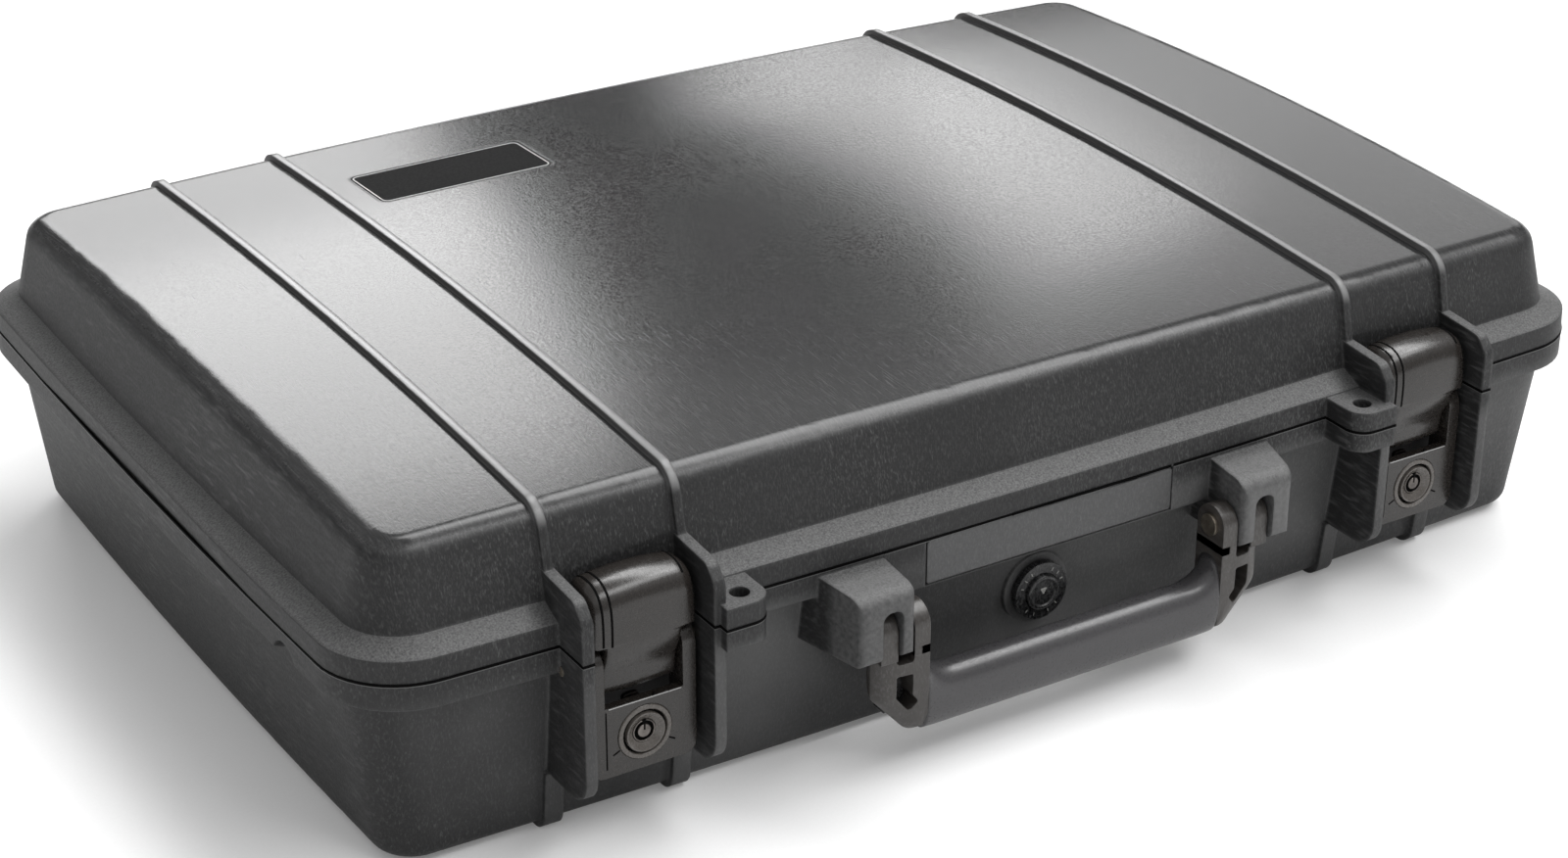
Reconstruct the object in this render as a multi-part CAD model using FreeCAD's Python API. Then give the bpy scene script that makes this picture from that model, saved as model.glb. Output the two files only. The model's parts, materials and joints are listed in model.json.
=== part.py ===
import FreeCAD, Part
import math
import os

# Moulded attache case with a hinged lid, two double-throw latches with key locks,
# a folding carrying handle and a pressure valve.
# Millimetres. +X to the right along the front, -Y out of the front, +Z up.
# The origin is the middle of the overall length and depth, on the plane that the bottom ribs
# stand on. Shapes are drawn about the middle of the shell and moved there when they are written.

# Overall body
case_length = 505.0
band_depth = 340.0
case_height = 123.0
rib_height = 2.0
parting_height = 75.0
corner_radius = 29.0
front_bow = 4.0
side_bow = 2.0
crown_front_drop = 5.9
crown_side_drop = 2.6
wall = 3.2
cut_overrun = 1.5

# Lid walls: insets from the band's face and heights above the parting plane
lid_band_height = 8.0
lid_band_draft = 0.4
lid_shelf_rise = 3.8
lid_shelf_inset = 9.0
lid_wall_rise = 26.0
lid_wall_draft = 6.0
lid_edge_radius = 8.5

# Base walls: insets from the band's face and depths below the parting plane
base_band_height = 9.0
base_shelf_drop = 3.4
base_shelf_inset = 7.2
base_wall_draft = 7.4
base_edge_radius = 5.5

# Cavity and seal
rim_inset = 17.4
cavity_draft = 1.2
cavity_radius = 9.0
groove_inset = 11.1
groove_width = 4.0
groove_depth = 4.5
seal_side_gap = 0.3
seal_thickness = 2.2
ridge_side_gap = 0.7
ridge_seal_gap = 0.1

# Stiffening ribs over the lid and under the base
rib_offset = 158.5
rib_half_spacing = 23.0
rib_width = 3.0
foot_rib_width = 6.5

# Fins that guard the latches: rises and drops from the parting plane
fin_width = 4.0
fin_reach = 14.4
fin_top_rise = 21.9
fin_top_fall = 1.6
fin_front_fall = 7.5
fin_front_run = 5.0
fin_tip_radius = 4.5
fin_foot_drop = 51.4
fin_foot_radius = 10.0
pocket_setback = 11.0

# Lever: the lower plate of a latch, with two arms, its heights below the parting plane
lever_width = 37.0
lever_proud = 6.6
lever_bottom_drop = 47.6
lever_plate_top_drop = 22.6
lever_plate_thickness = 3.2
lever_arm_width = 4.6
lever_side_depth = 9.0
lever_corner_radius = 4.0
lever_axis_drop = 8.6
lever_end_radius = 7.0
lever_pin_radius = 1.75
lever_pin_length = 9.0

# Hook: the upper piece of a latch, hung in the lever's arms
hook_axis_below_lever_axis = 9.0
hook_axis_setback = 0.4
hook_eye_radius = 3.2
hook_pin_radius = 1.4
hook_tongue_gap = 0.5
hook_proud = 9.0
hook_thickness = 3.2
hook_shoulder_below_parting = 0.2
hook_shoulder_drop = 0.9
hook_top_rise = 20.9
hook_bend_radius = 8.0
hook_nose_drop = 7.0
hook_nose_gap = 1.4
hook_edge_radius = 1.4
hook_groove_width = 0.8
hook_groove_depth = 0.5
hook_groove_offsets = (11.4, 14.6)

# Key lock in the lever plate
lock_drop = 34.6
bezel_radius = 9.6
bezel_flange = 1.0
bezel_dish_radius = 8.4
bezel_dish_depth = 1.6
housing_radius = 6.6
housing_depth = 8.4
core_radius = 4.0
core_ring_radius = 5.2
core_ring_height = 0.8
core_fit_gap = 0.08
key_slot_width = 1.4
key_slot_length = 3.0
key_slot_depth = 4.0
cam_length = 9.5
cam_width = 6.0
cam_thickness = 1.6

# Padlock tabs beside the inner fins
tab_height = 7.5
tab_length = 15.0
tab_reach = 16.5
tab_corner_radius = 7.0
tab_hole_radius = 3.3
tab_hole_offset = 7.2
tab_hole_reach = 8.4

# Handle lugs on the base; the foot is below the handle's axis
lug_root_outer = 94.0
lug_front_outer = 87.5
lug_reach = 19.4
lug_top_below_parting = 0.8
lug_foot_drop = 7.4
lug_nose_radius = 7.0
lug_foot_radius = 3.0
lug_arch_gap = 3.5
lug_arch_radius = 3.2

# Handle: the axis is below the parting plane, the other drops are below the axis
handle_axis_reach = 10.2
handle_axis_drop = 20.6
handle_depth = 14.4
handle_outer = 79.0
outer_prong_width = 6.5
inner_prong_width = 6.0
inner_cheek_width = 5.0
prong_side_gap = 0.7
handle_web_drop = 11.5
handle_web_thickness = 3.6
handle_bottom_drop = 41.2
grip_height = 20.6
grip_throat_radius = 9.0
handle_elbow_drop = 23.9
handle_elbow_inset = 16.5
handle_elbow_radius = 7.0
elbow_pocket_depth = 9.0
elbow_pocket_wall = 2.8
grip_edge_radius = 4.8
prong_edge_radius = 1.2
core_bar_height = 10.0
core_bar_depth = 6.6
handle_pin_radius = 2.5
handle_pin_head_radius = 4.0
handle_pin_head = 1.2
handle_pin_reach = 5.4

# Panel between the lugs and its bare nameplate
panel_drop = 17.4
panel_setback = 0.2
nameplate_length = 100.0
nameplate_margin = 0.9
nameplate_thickness = 2.4
nameplate_seam = 0.6
nameplate_corner_radius = 1.0

# Pressure valve
valve_drop = 36.1
valve_boss_radius = 13.0
valve_boss_reach = 2.2
valve_flange_radius = 10.6
valve_flange = 2.6
valve_knob_radius = 6.6
valve_knob_proud = 1.6
valve_stem_radius = 5.0
valve_stem_length = 17.0
valve_nut_radius = 8.4
valve_nut_thickness = 4.0
valve_seal_radius = 8.0
valve_seal_thickness = 1.0
valve_fit_gap = 0.1
valve_slot_width = 1.6
valve_slot_depth = 0.9

# Rear hinges
hinge_width = 41.0
hinge_knuckles = 5
hinge_gap = 0.5
hinge_radius = 4.4
hinge_reach = 4.8
hinge_pin_radius = 1.6
hinge_web = 6.5
hinge_gusset_drop = 14.0

# Shallow seat for a label on the lid
label_centre_x = -87.0
label_centre_y = 96.0
label_length = 70.0
label_width = 31.0
label_depth = 0.8
label_corner_radius = 3.0

# Thumb notches under the ends of the base band
notch_centre_y = -114.0
notch_radius = 8.0
notch_depth = 5.0

# Foam
foam_gap = 0.4
foam_end_wall = 43.1
foam_side_wall = 24.6
pocket_floor_height = 30.0
pocket_corner_radius = 16.0
pad_thickness = 7.0
pad_gap = 0.5

running_fit = 0.05

# Derived places
half_length = case_length / 2
half_depth = band_depth / 2
base_bottom = rib_height
lid_top = case_height - rib_height
fin_foot_height = parting_height - fin_foot_drop
lever_axis_height = parting_height - lever_axis_drop
lever_bottom_height = parting_height - lever_bottom_drop
lever_plate_top = parting_height - lever_plate_top_drop
lock_height = parting_height - lock_drop
valve_height = parting_height - valve_drop
hook_axis_height = lever_axis_height - hook_axis_below_lever_axis
handle_axis_height = parting_height - handle_axis_drop
handle_web_top = handle_axis_height - handle_web_drop
handle_elbow_height = handle_axis_height - handle_elbow_drop
handle_bottom_height = handle_axis_height - handle_bottom_drop
lug_foot_height = handle_axis_height - lug_foot_drop
lug_arch_crown = handle_axis_height + handle_depth / 2 + lug_arch_gap
latch_centres = {"left": -rib_offset, "right": rib_offset}
rib_lines = [side * (rib_offset + end * rib_half_spacing) for side in (-1, 1) for end in (-1, 1)]
SIDES = {"left": -1, "right": 1}


def bowed_face(x):
    """Distance of the band's front or back face from the centre plane at a place along the length."""
    flat_half = half_length - side_bow - corner_radius
    return half_depth - front_bow * (x / flat_half) ** 2


latch_face = -bowed_face(rib_offset)
rear_face = bowed_face(rib_offset)
lever_axis_y = latch_face - lever_proud + lever_end_radius
hook_axis_y = lever_axis_y + hook_axis_setback
handle_axis_y = -half_depth - handle_axis_reach
outer_prong_face = handle_outer - outer_prong_width
inner_prong_face = outer_prong_face - 2 * prong_side_gap - inner_cheek_width
cheek_face = inner_prong_face + prong_side_gap
grip_end = inner_prong_face - inner_prong_width
hinge_axis_y = rear_face + hinge_reach
middle_y = (hinge_axis_y + hinge_radius - half_depth - lug_reach) / 2


def vec(x, y, z):
    return FreeCAD.Vector(x, y, z)


def box(x_range, y_range, z_range):
    sizes = [end - start for start, end in (x_range, y_range, z_range)]
    return Part.makeBox(*sizes, vec(x_range[0], y_range[0], z_range[0]))


def rod_x(radius, x_range, y, z):
    return Part.makeCylinder(radius, x_range[1] - x_range[0], vec(x_range[0], y, z), vec(1, 0, 0))


def rod_y(radius, y_range, x, z):
    return Part.makeCylinder(radius, y_range[1] - y_range[0], vec(x, y_range[0], z), vec(0, 1, 0))


def rod_z(radius, z_range, x, y):
    return Part.makeCylinder(radius, z_range[1] - z_range[0], vec(x, y, z_range[0]))


def arc(start, middle, end):
    return Part.Arc(start, middle, end).toShape()


def rounded_wire(corners, place):
    """Closed wire through corners of (u, w, radius), laid in space by place(u, w)."""
    points = [place(u, w) for u, w, radius in corners]
    edges, ends = [], []
    for index, (u, w, radius) in enumerate(corners):
        corner = points[index]
        before = (points[index - 1] - corner).normalize()
        after = (points[(index + 1) % len(points)] - corner).normalize()
        if radius == 0:
            ends.append((corner, None, corner))
            continue
        half_angle = before.getAngle(after) / 2
        reach = radius / math.tan(half_angle)
        bisector = (before + after).normalize()
        middle = corner + bisector * (radius / math.sin(half_angle) - radius)
        ends.append((corner + before * reach, middle, corner + after * reach))
    for index, (first, middle, last) in enumerate(ends):
        if middle is not None:
            edges.append(arc(first, middle, last))
        following = ends[(index + 1) % len(ends)][0]
        if last.distanceToPoint(following) > Part.Vertex(last).Tolerance:
            edges.append(Part.LineSegment(last, following).toShape())
    return Part.Wire(Part.__sortEdges__(edges))


def prism_x(corners, x_range):
    """Solid whose (y, z) outline runs along X."""
    face = Part.Face(rounded_wire(corners, lambda y, z: vec(x_range[0], y, z)))
    return face.extrude(vec(x_range[1] - x_range[0], 0, 0))


def prism_y(corners, y_range):
    """Solid whose (x, z) outline runs along Y."""
    face = Part.Face(rounded_wire(corners, lambda x, z: vec(x, y_range[0], z)))
    return face.extrude(vec(0, y_range[1] - y_range[0], 0))


def prism_z(corners, z_range):
    """Solid whose (x, y) outline runs along Z."""
    face = Part.Face(rounded_wire(corners, lambda x, y: vec(x, y, z_range[0])))
    return face.extrude(vec(0, 0, z_range[1] - z_range[0]))


def mirrored(shape):
    return shape.mirror(vec(0, 0, 0), vec(1, 0, 0))


def handed(shape, side):
    """The right-hand shape itself, or its mirror image on the left."""
    return shape if side > 0 else mirrored(shape)


def joined(shapes):
    return shapes[0].multiFuse(shapes[1:]).removeSplitter()


def case_outline(inset, z):
    """Plan of the case at one height: bowed sides and rounded corners."""
    reach_x, reach_y = half_length - inset, half_depth - inset
    flat_x, flat_y = reach_x - side_bow, reach_y - front_bow
    radius = max(corner_radius - inset, wall)
    turn = radius * (1 - math.sqrt(0.5))
    edges = []
    for sign in (-1, 1):
        start = vec(sign * (flat_x - radius), sign * flat_y, z)
        edges.append(arc(vec(-start.x, start.y, z), vec(0, sign * reach_y, z), start))
        turned = vec(sign * (flat_x - turn), sign * (flat_y - turn), z)
        side_start = vec(sign * flat_x, sign * (flat_y - radius), z)
        edges.append(arc(start, turned, side_start))
        side_end = vec(side_start.x, -side_start.y, z)
        edges.append(arc(side_start, vec(sign * reach_x, 0, z), side_end))
        far_corner = vec(sign * (flat_x - turn), -sign * (flat_y - turn), z)
        edges.append(arc(side_end, far_corner, vec(start.x, -start.y, z)))
    return Part.Wire(Part.__sortEdges__(edges))


def case_loft(sections):
    """Ruled solid through case outlines given as (inset, height)."""
    return Part.makeLoft([case_outline(inset, z) for inset, z in sections], True, True)


def case_ring(outer_inset, inner_inset, z_range):
    outer = Part.Face(case_outline(outer_inset, z_range[0]))
    inner = Part.Face(case_outline(inner_inset, z_range[0]))
    return outer.cut(inner).extrude(vec(0, 0, z_range[1] - z_range[0]))


def crown_body(top):
    """Everything below a doubly curved surface whose highest point is at the given height."""
    radius_y = half_depth ** 2 / crown_front_drop / 2
    radius_x = half_length ** 2 / crown_side_drop / 2
    drop = radius_y - math.sqrt(radius_y ** 2 - half_depth ** 2)
    low = top - case_height
    left, right = vec(0, -half_depth, top - drop), vec(0, half_depth, top - drop)
    edges = [arc(left, vec(0, 0, top), right)]
    loop = [right, vec(0, half_depth, low), vec(0, -half_depth, low), left]
    edges += [Part.LineSegment(a, b).toShape() for a, b in zip(loop, loop[1:])]
    face = Part.Face(Part.Wire(edges))
    sweep = math.degrees(case_length / radius_x)
    axis = vec(0, 0, top - radius_x)
    face.rotate(axis, vec(0, 1, 0), -sweep / 2)
    return face.revolve(axis, vec(0, 1, 0), sweep)


def under_crown(block, top, radius):
    """Block cut off by the crown surface, with the new edge rounded."""
    body = block.common(crown_body(top))
    crown = max(body.Faces, key=lambda face: face.CenterOfMass.z)
    return body.makeFillet(radius, crown.Edges)


def lid_block(grow):
    """Outer form of the lid, grown outward by the given amount."""
    wall_top = lid_shelf_rise + lid_band_height + lid_wall_rise
    slope = lid_wall_draft / lid_wall_rise
    overshoot = case_height - parting_height - wall_top + cut_overrun
    sections = [
        (-grow, parting_height),
        (lid_band_draft - grow, parting_height + lid_band_height),
        (lid_shelf_inset - grow, parting_height + lid_band_height + lid_shelf_rise),
        (lid_shelf_inset + lid_wall_draft + slope * overshoot - grow, parting_height + wall_top + overshoot),
    ]
    return under_crown(case_loft(sections), lid_top + grow, lid_edge_radius + grow)


def base_block(grow):
    """Outer form of the base, grown outward and down by the given amount."""
    shelf_foot = parting_height - base_band_height - base_shelf_drop
    sections = [
        (base_shelf_inset + base_wall_draft - grow, base_bottom - grow),
        (base_shelf_inset - grow, shelf_foot),
        (-grow, parting_height - base_band_height),
        (-grow, parting_height),
    ]
    block = case_loft(sections)
    floor = min(block.Faces, key=lambda face: face.CenterOfMass.z)
    return block.makeFillet(base_edge_radius + grow, floor.Edges)


def lid_cavity():
    block = case_loft([
        (rim_inset, parting_height - cut_overrun),
        (rim_inset + cavity_draft, case_height),
    ])
    return under_crown(block, lid_top - wall, cavity_radius)


def base_cavity(gap, top):
    """Hollow of the base, drawn in all round by a gap."""
    block = case_loft([
        (rim_inset + cavity_draft + gap, base_bottom + wall + gap),
        (rim_inset + gap, top),
    ])
    floor = min(block.Faces, key=lambda face: face.CenterOfMass.z)
    return block.makeFillet(cavity_radius - gap, floor.Edges)


def rib_slabs(width, z_range):
    reach = half_depth + fin_reach
    return [box((x - width / 2, x + width / 2), (-reach, reach), z_range) for x in rib_lines]


def lid_fin(x):
    """Upper part of a latch guard: flat on top, then rounded down to the parting plane."""
    front = latch_face - fin_reach
    root = latch_face + rim_inset - wall
    top = parting_height + fin_top_rise
    corners = [
        (root, parting_height, 0),
        (front, parting_height, 0),
        (front, top - fin_front_fall, fin_tip_radius),
        (front + fin_front_run, top - fin_top_fall, fin_tip_radius),
        (root, top, 0),
    ]
    return prism_x(corners, (x - fin_width / 2, x + fin_width / 2))


def base_fin(x):
    """Lower part of a latch guard, down to just above the floor edge."""
    front = latch_face - fin_reach
    root = latch_face + rim_inset - wall
    corners = [
        (root, parting_height, 0),
        (root, fin_foot_height, 0),
        (front, fin_foot_height, fin_foot_radius),
        (front, parting_height, 0),
    ]
    return prism_x(corners, (x - fin_width / 2, x + fin_width / 2))


def padlock_tab(side, z_range):
    """Rounded tab beside the inner fin with a hole for a shackle."""
    inner_fin = rib_offset - rib_half_spacing
    front = -half_depth - tab_reach
    root = -half_depth + lid_shelf_inset
    corners = [
        (inner_fin, root, 0),
        (inner_fin - fin_width / 2 - tab_length, root, 0),
        (inner_fin - fin_width / 2 - tab_length, front, tab_corner_radius),
        (inner_fin, front, 0),
    ]
    tab = prism_z(corners, z_range)
    hole_x = inner_fin - fin_width / 2 - tab_hole_offset
    hole_z = (z_range[0] - cut_overrun, z_range[1] + cut_overrun)
    hole = rod_z(tab_hole_radius, hole_z, hole_x, -half_depth - tab_hole_reach)
    return handed(tab.cut(hole), side)


def latch_pocket(side, z_range):
    """Room between a pair of fins where the band is left out."""
    half_width = rib_half_spacing - fin_width / 2
    x = latch_centres[side]
    y_range = (latch_face - fin_reach - cut_overrun, latch_face + pocket_setback)
    return box((x - half_width, x + half_width), y_range, z_range)


def hinge_spans():
    """Start and end along X of each knuckle, measured from the hinge's middle."""
    pitch = (hinge_width + hinge_gap) / hinge_knuckles
    starts = [index * pitch - hinge_width / 2 for index in range(hinge_knuckles)]
    return [(start, start + pitch - hinge_gap) for start in starts]


def hinge_knuckle(x_range, lid_side):
    """Barrel on the hinge axis with the web that carries it on the band."""
    barrel = rod_x(hinge_radius, x_range, hinge_axis_y, parting_height)
    root = rear_face - lid_shelf_inset
    if lid_side:
        corners = [
            (root, parting_height, 0),
            (hinge_axis_y, parting_height, 0),
            (hinge_axis_y, parting_height + hinge_radius, 0),
            (root, parting_height + hinge_radius + hinge_web, 0),
        ]
    else:
        corners = [
            (root, parting_height, 0),
            (hinge_axis_y, parting_height, 0),
            (hinge_axis_y + hinge_radius, parting_height, 0),
            (hinge_axis_y + hinge_radius, parting_height - hinge_web, 0),
            (root, parting_height - hinge_gusset_drop, 0),
        ]
    web = prism_x(corners, x_range)
    hole = rod_x(hinge_pin_radius + running_fit, x_range, hinge_axis_y, parting_height)
    return barrel.fuse(web).cut(hole)


def knuckles(first):
    """Every second knuckle of both hinges, starting from the given one."""
    lid_side = first == 1
    shapes = []
    for centre in latch_centres.values():
        for start, end in hinge_spans()[first::2]:
            shapes.append(hinge_knuckle((centre + start, centre + end), lid_side))
    return shapes


def hinge_clearance(first):
    """Room round the other half's knuckles, cut from the band."""
    shapes = []
    for centre in latch_centres.values():
        for start, end in hinge_spans()[first::2]:
            x_range = (centre + start - hinge_gap, centre + end + hinge_gap)
            shapes.append(rod_x(hinge_reach, x_range, hinge_axis_y, parting_height))
    return shapes


def label_seat():
    half_x, half_y = label_length / 2, label_width / 2
    corners = [
        (label_centre_x + i * half_x, label_centre_y + j * half_y, label_corner_radius)
        for i, j in ((-1, -1), (1, -1), (1, 1), (-1, 1))
    ]
    column = prism_z(corners, (parting_height, case_height + cut_overrun))
    return column.cut(crown_body(lid_top - label_depth))


def make_lid_shell():
    top = case_height + cut_overrun
    shell = lid_block(0)
    swollen = lid_block(rib_height)
    rib_foot = parting_height + lid_band_height
    ribs = [slab.common(swollen) for slab in rib_slabs(rib_width, (rib_foot, top))]
    fins = [lid_fin(x) for x in rib_lines]
    tabs = [padlock_tab(side, (parting_height, parting_height + tab_height)) for side in SIDES.values()]
    shell = joined([shell] + ribs + fins + tabs)
    pocket_z = (parting_height - cut_overrun, parting_height + fin_top_rise)
    cuts = [latch_pocket(side, pocket_z) for side in SIDES]
    cuts += hinge_clearance(0)
    shell = shell.cut(lid_cavity()).cut(Part.makeCompound(cuts))
    groove_z = (parting_height, parting_height + groove_depth)
    shell = shell.cut(case_ring(groove_inset, groove_inset + groove_width, groove_z))
    shell = shell.cut(label_seat())
    return joined([shell] + knuckles(1))


def lug(side):
    """Handle bracket: two cheeks under a sloping top, open at the front and below."""
    root, front = latch_face + lid_shelf_inset, -half_depth - lug_reach
    top = parting_height - lug_top_below_parting
    plan = prism_z([
        (cheek_face, root, 0),
        (lug_root_outer, root, 0),
        (lug_front_outer, front, lug_foot_radius),
        (cheek_face, front, lug_foot_radius),
    ], (lug_foot_height, top))
    profile = prism_x([
        (root, lug_foot_height, 0),
        (front, lug_foot_height, lug_foot_radius),
        (front, top - wall, lug_nose_radius),
        (root, top, 0),
    ], (cheek_face - cut_overrun, lug_root_outer + cut_overrun))
    slot_inner = outer_prong_face - prong_side_gap
    slot_outer = handle_outer + prong_side_gap
    slot_back = handle_axis_y + handle_depth / 2 + lug_foot_radius / 2
    slot = prism_y([
        (slot_inner, lug_foot_height - cut_overrun, 0),
        (slot_outer, lug_foot_height - cut_overrun, 0),
        (slot_outer, lug_arch_crown, lug_arch_radius),
        (slot_inner, lug_arch_crown, lug_arch_radius),
    ], (front - cut_overrun, slot_back))
    body = plan.common(profile).cut(slot)
    bore_x = (cheek_face - wall, slot_outer + handle_pin_reach + running_fit)
    bore = rod_x(handle_pin_radius + running_fit, bore_x, handle_axis_y, handle_axis_height)
    return handed(body.cut(bore), side)


def front_panel():
    """Deep part of the band between the lugs."""
    front = -half_depth + panel_setback
    z_range = (parting_height - panel_drop, parting_height)
    return box((-cheek_face, cheek_face), (front, front + rim_inset - wall), z_range)


def nameplate_seat():
    """Recess for the nameplate in the front panel."""
    back = -half_depth + panel_setback + nameplate_thickness
    half = nameplate_length / 2 + nameplate_seam
    low = parting_height - panel_drop + nameplate_margin - nameplate_seam
    high = parting_height - nameplate_margin + nameplate_seam
    return box((-half, half), (-half_depth - cut_overrun, back), (low, high))


def make_nameplate():
    half_x = nameplate_length / 2
    low = parting_height - panel_drop + nameplate_margin
    high = parting_height - nameplate_margin
    front = -half_depth + panel_setback
    corners = [(x, z, nameplate_corner_radius) for x, z in
               ((-half_x, low), (half_x, low), (half_x, high), (-half_x, high))]
    return prism_y(corners, (front, front + nameplate_thickness))


def base_wall_face(height):
    """Y of the base's front wall at a height, on the middle of the front."""
    shelf_foot = parting_height - base_band_height - base_shelf_drop
    share = (shelf_foot - height) / (shelf_foot - base_bottom)
    return -half_depth + base_shelf_inset + base_wall_draft * share


valve_face = base_wall_face(valve_height) - valve_boss_reach
inner_wall_y = -half_depth + rim_inset + cavity_draft


def thumb_notches():
    """Half-round recesses under the band at both ends."""
    z = parting_height - base_band_height - base_shelf_drop
    shapes = []
    for side in SIDES.values():
        outer = side * (half_length + cut_overrun)
        inner = side * (half_length - notch_depth)
        shapes.append(rod_x(notch_radius, (min(outer, inner), max(outer, inner)), notch_centre_y, z))
    return shapes


def make_base_shell():
    shell = base_block(0)
    swollen = base_block(rib_height)
    feet = [slab.common(swollen) for slab in rib_slabs(foot_rib_width, (0, fin_foot_height))]
    fins = [base_fin(x) for x in rib_lines]
    tab_z = (parting_height - tab_height, parting_height)
    tabs = [padlock_tab(side, tab_z) for side in SIDES.values()]
    boss = rod_y(valve_boss_radius, (valve_face, inner_wall_y), 0, valve_height)
    lugs = [lug(side) for side in SIDES.values()]
    shell = joined([shell] + feet + fins + tabs + lugs + [front_panel(), boss])
    pocket_z = (lever_axis_height - 2 * lever_end_radius, parting_height + cut_overrun)
    cuts = [latch_pocket(side, pocket_z) for side in SIDES]
    cuts += hinge_clearance(1)
    cuts += thumb_notches() + [nameplate_seat()]
    cuts += [lever_pin_bores(side) for side in SIDES]
    bore_y = (valve_face - cut_overrun, inner_wall_y + rim_inset)
    cuts.append(rod_y(valve_stem_radius + running_fit, bore_y, 0, valve_height))
    cuts.append(base_cavity(0, parting_height + cut_overrun))
    shell = shell.cut(Part.makeCompound(cuts))
    ridge_top = parting_height + groove_depth - seal_thickness - ridge_seal_gap
    ridge_outer = groove_inset + ridge_side_gap
    ridge_inner = groove_inset + groove_width - ridge_side_gap
    ridge = case_ring(ridge_outer, ridge_inner, (parting_height, ridge_top))
    return joined([shell, ridge] + knuckles(0))


def make_lid_seal():
    top = parting_height + groove_depth
    outer = groove_inset + seal_side_gap
    inner = groove_inset + groove_width - seal_side_gap
    return case_ring(outer, inner, (top - seal_thickness, top))


def make_hinge_pin(side):
    x = latch_centres[side]
    x_range = (x - hinge_width / 2, x + hinge_width / 2)
    return rod_x(hinge_pin_radius, x_range, hinge_axis_y, parting_height)


def lever_pin_ranges(side):
    """Spans along X of the two stub pins of a lever."""
    x = latch_centres[side]
    outer = rib_half_spacing + fin_width / 2
    return [(x - outer, x - outer + lever_pin_length), (x + outer - lever_pin_length, x + outer)]


def lever_pin_bores(side):
    radius = lever_pin_radius + running_fit
    return Part.makeCompound([rod_x(radius, span, lever_axis_y, lever_axis_height)
                              for span in lever_pin_ranges(side)])


def make_lever_pins(side):
    return Part.makeCompound([rod_x(lever_pin_radius, span, lever_axis_y, lever_axis_height)
                              for span in lever_pin_ranges(side)])


def make_hook_pin(side):
    x = latch_centres[side]
    half = lever_width / 2 - hook_edge_radius
    return rod_x(hook_pin_radius, (x - half, x + half), hook_axis_y, hook_axis_height)


def make_lever(side):
    """Plate with two side walls that rise into arms; open behind."""
    x = latch_centres[side]
    half = lever_width / 2
    front = latch_face - lever_proud
    top = lever_axis_height + lever_end_radius
    back = front + lever_side_depth
    tongue_half = half - lever_arm_width
    side_profile = prism_x([
        (front, lever_bottom_height, 0),
        (back - lever_plate_thickness, lever_bottom_height, lever_plate_thickness),
        (back, lever_plate_top - lever_side_depth, lever_side_depth),
        (back, lever_plate_top, 0),
        (front + 2 * lever_end_radius, lever_axis_height - lever_end_radius, 0),
        (front + 2 * lever_end_radius, top, lever_end_radius),
        (front, top, lever_end_radius),
    ], (x - half, x + half))
    outline = prism_y([
        (x - half, lever_bottom_height, lever_corner_radius),
        (x + half, lever_bottom_height, lever_corner_radius),
        (x + half, top, 0),
        (x - half, top, 0),
    ], (front, front + 2 * lever_end_radius))
    body = side_profile.common(outline)
    hollow = box((x - tongue_half, x + tongue_half),
                 (front + lever_plate_thickness, front + 2 * lever_end_radius + cut_overrun),
                 (lever_bottom_height + lever_plate_thickness, top + cut_overrun))
    mouth = box((x - tongue_half, x + tongue_half),
                (front - cut_overrun, front + 2 * lever_end_radius + cut_overrun),
                (lever_plate_top, top + cut_overrun))
    body = body.cut(hollow).cut(mouth)
    pin_bores = [lever_pin_bores(side)]
    hook_bore_half = half - hook_edge_radius + running_fit
    pin_bores.append(rod_x(hook_pin_radius + running_fit, (x - hook_bore_half, x + hook_bore_half),
                           hook_axis_y, hook_axis_height))
    lock_bore = rod_y(housing_radius + running_fit, (front - cut_overrun, back), x, lock_height)
    bezel_seat = rod_y(bezel_radius + running_fit, (front - cut_overrun, front + bezel_flange), x, lock_height)
    return body.cut(Part.makeCompound(pin_bores)).cut(lock_bore).cut(bezel_seat)


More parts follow.
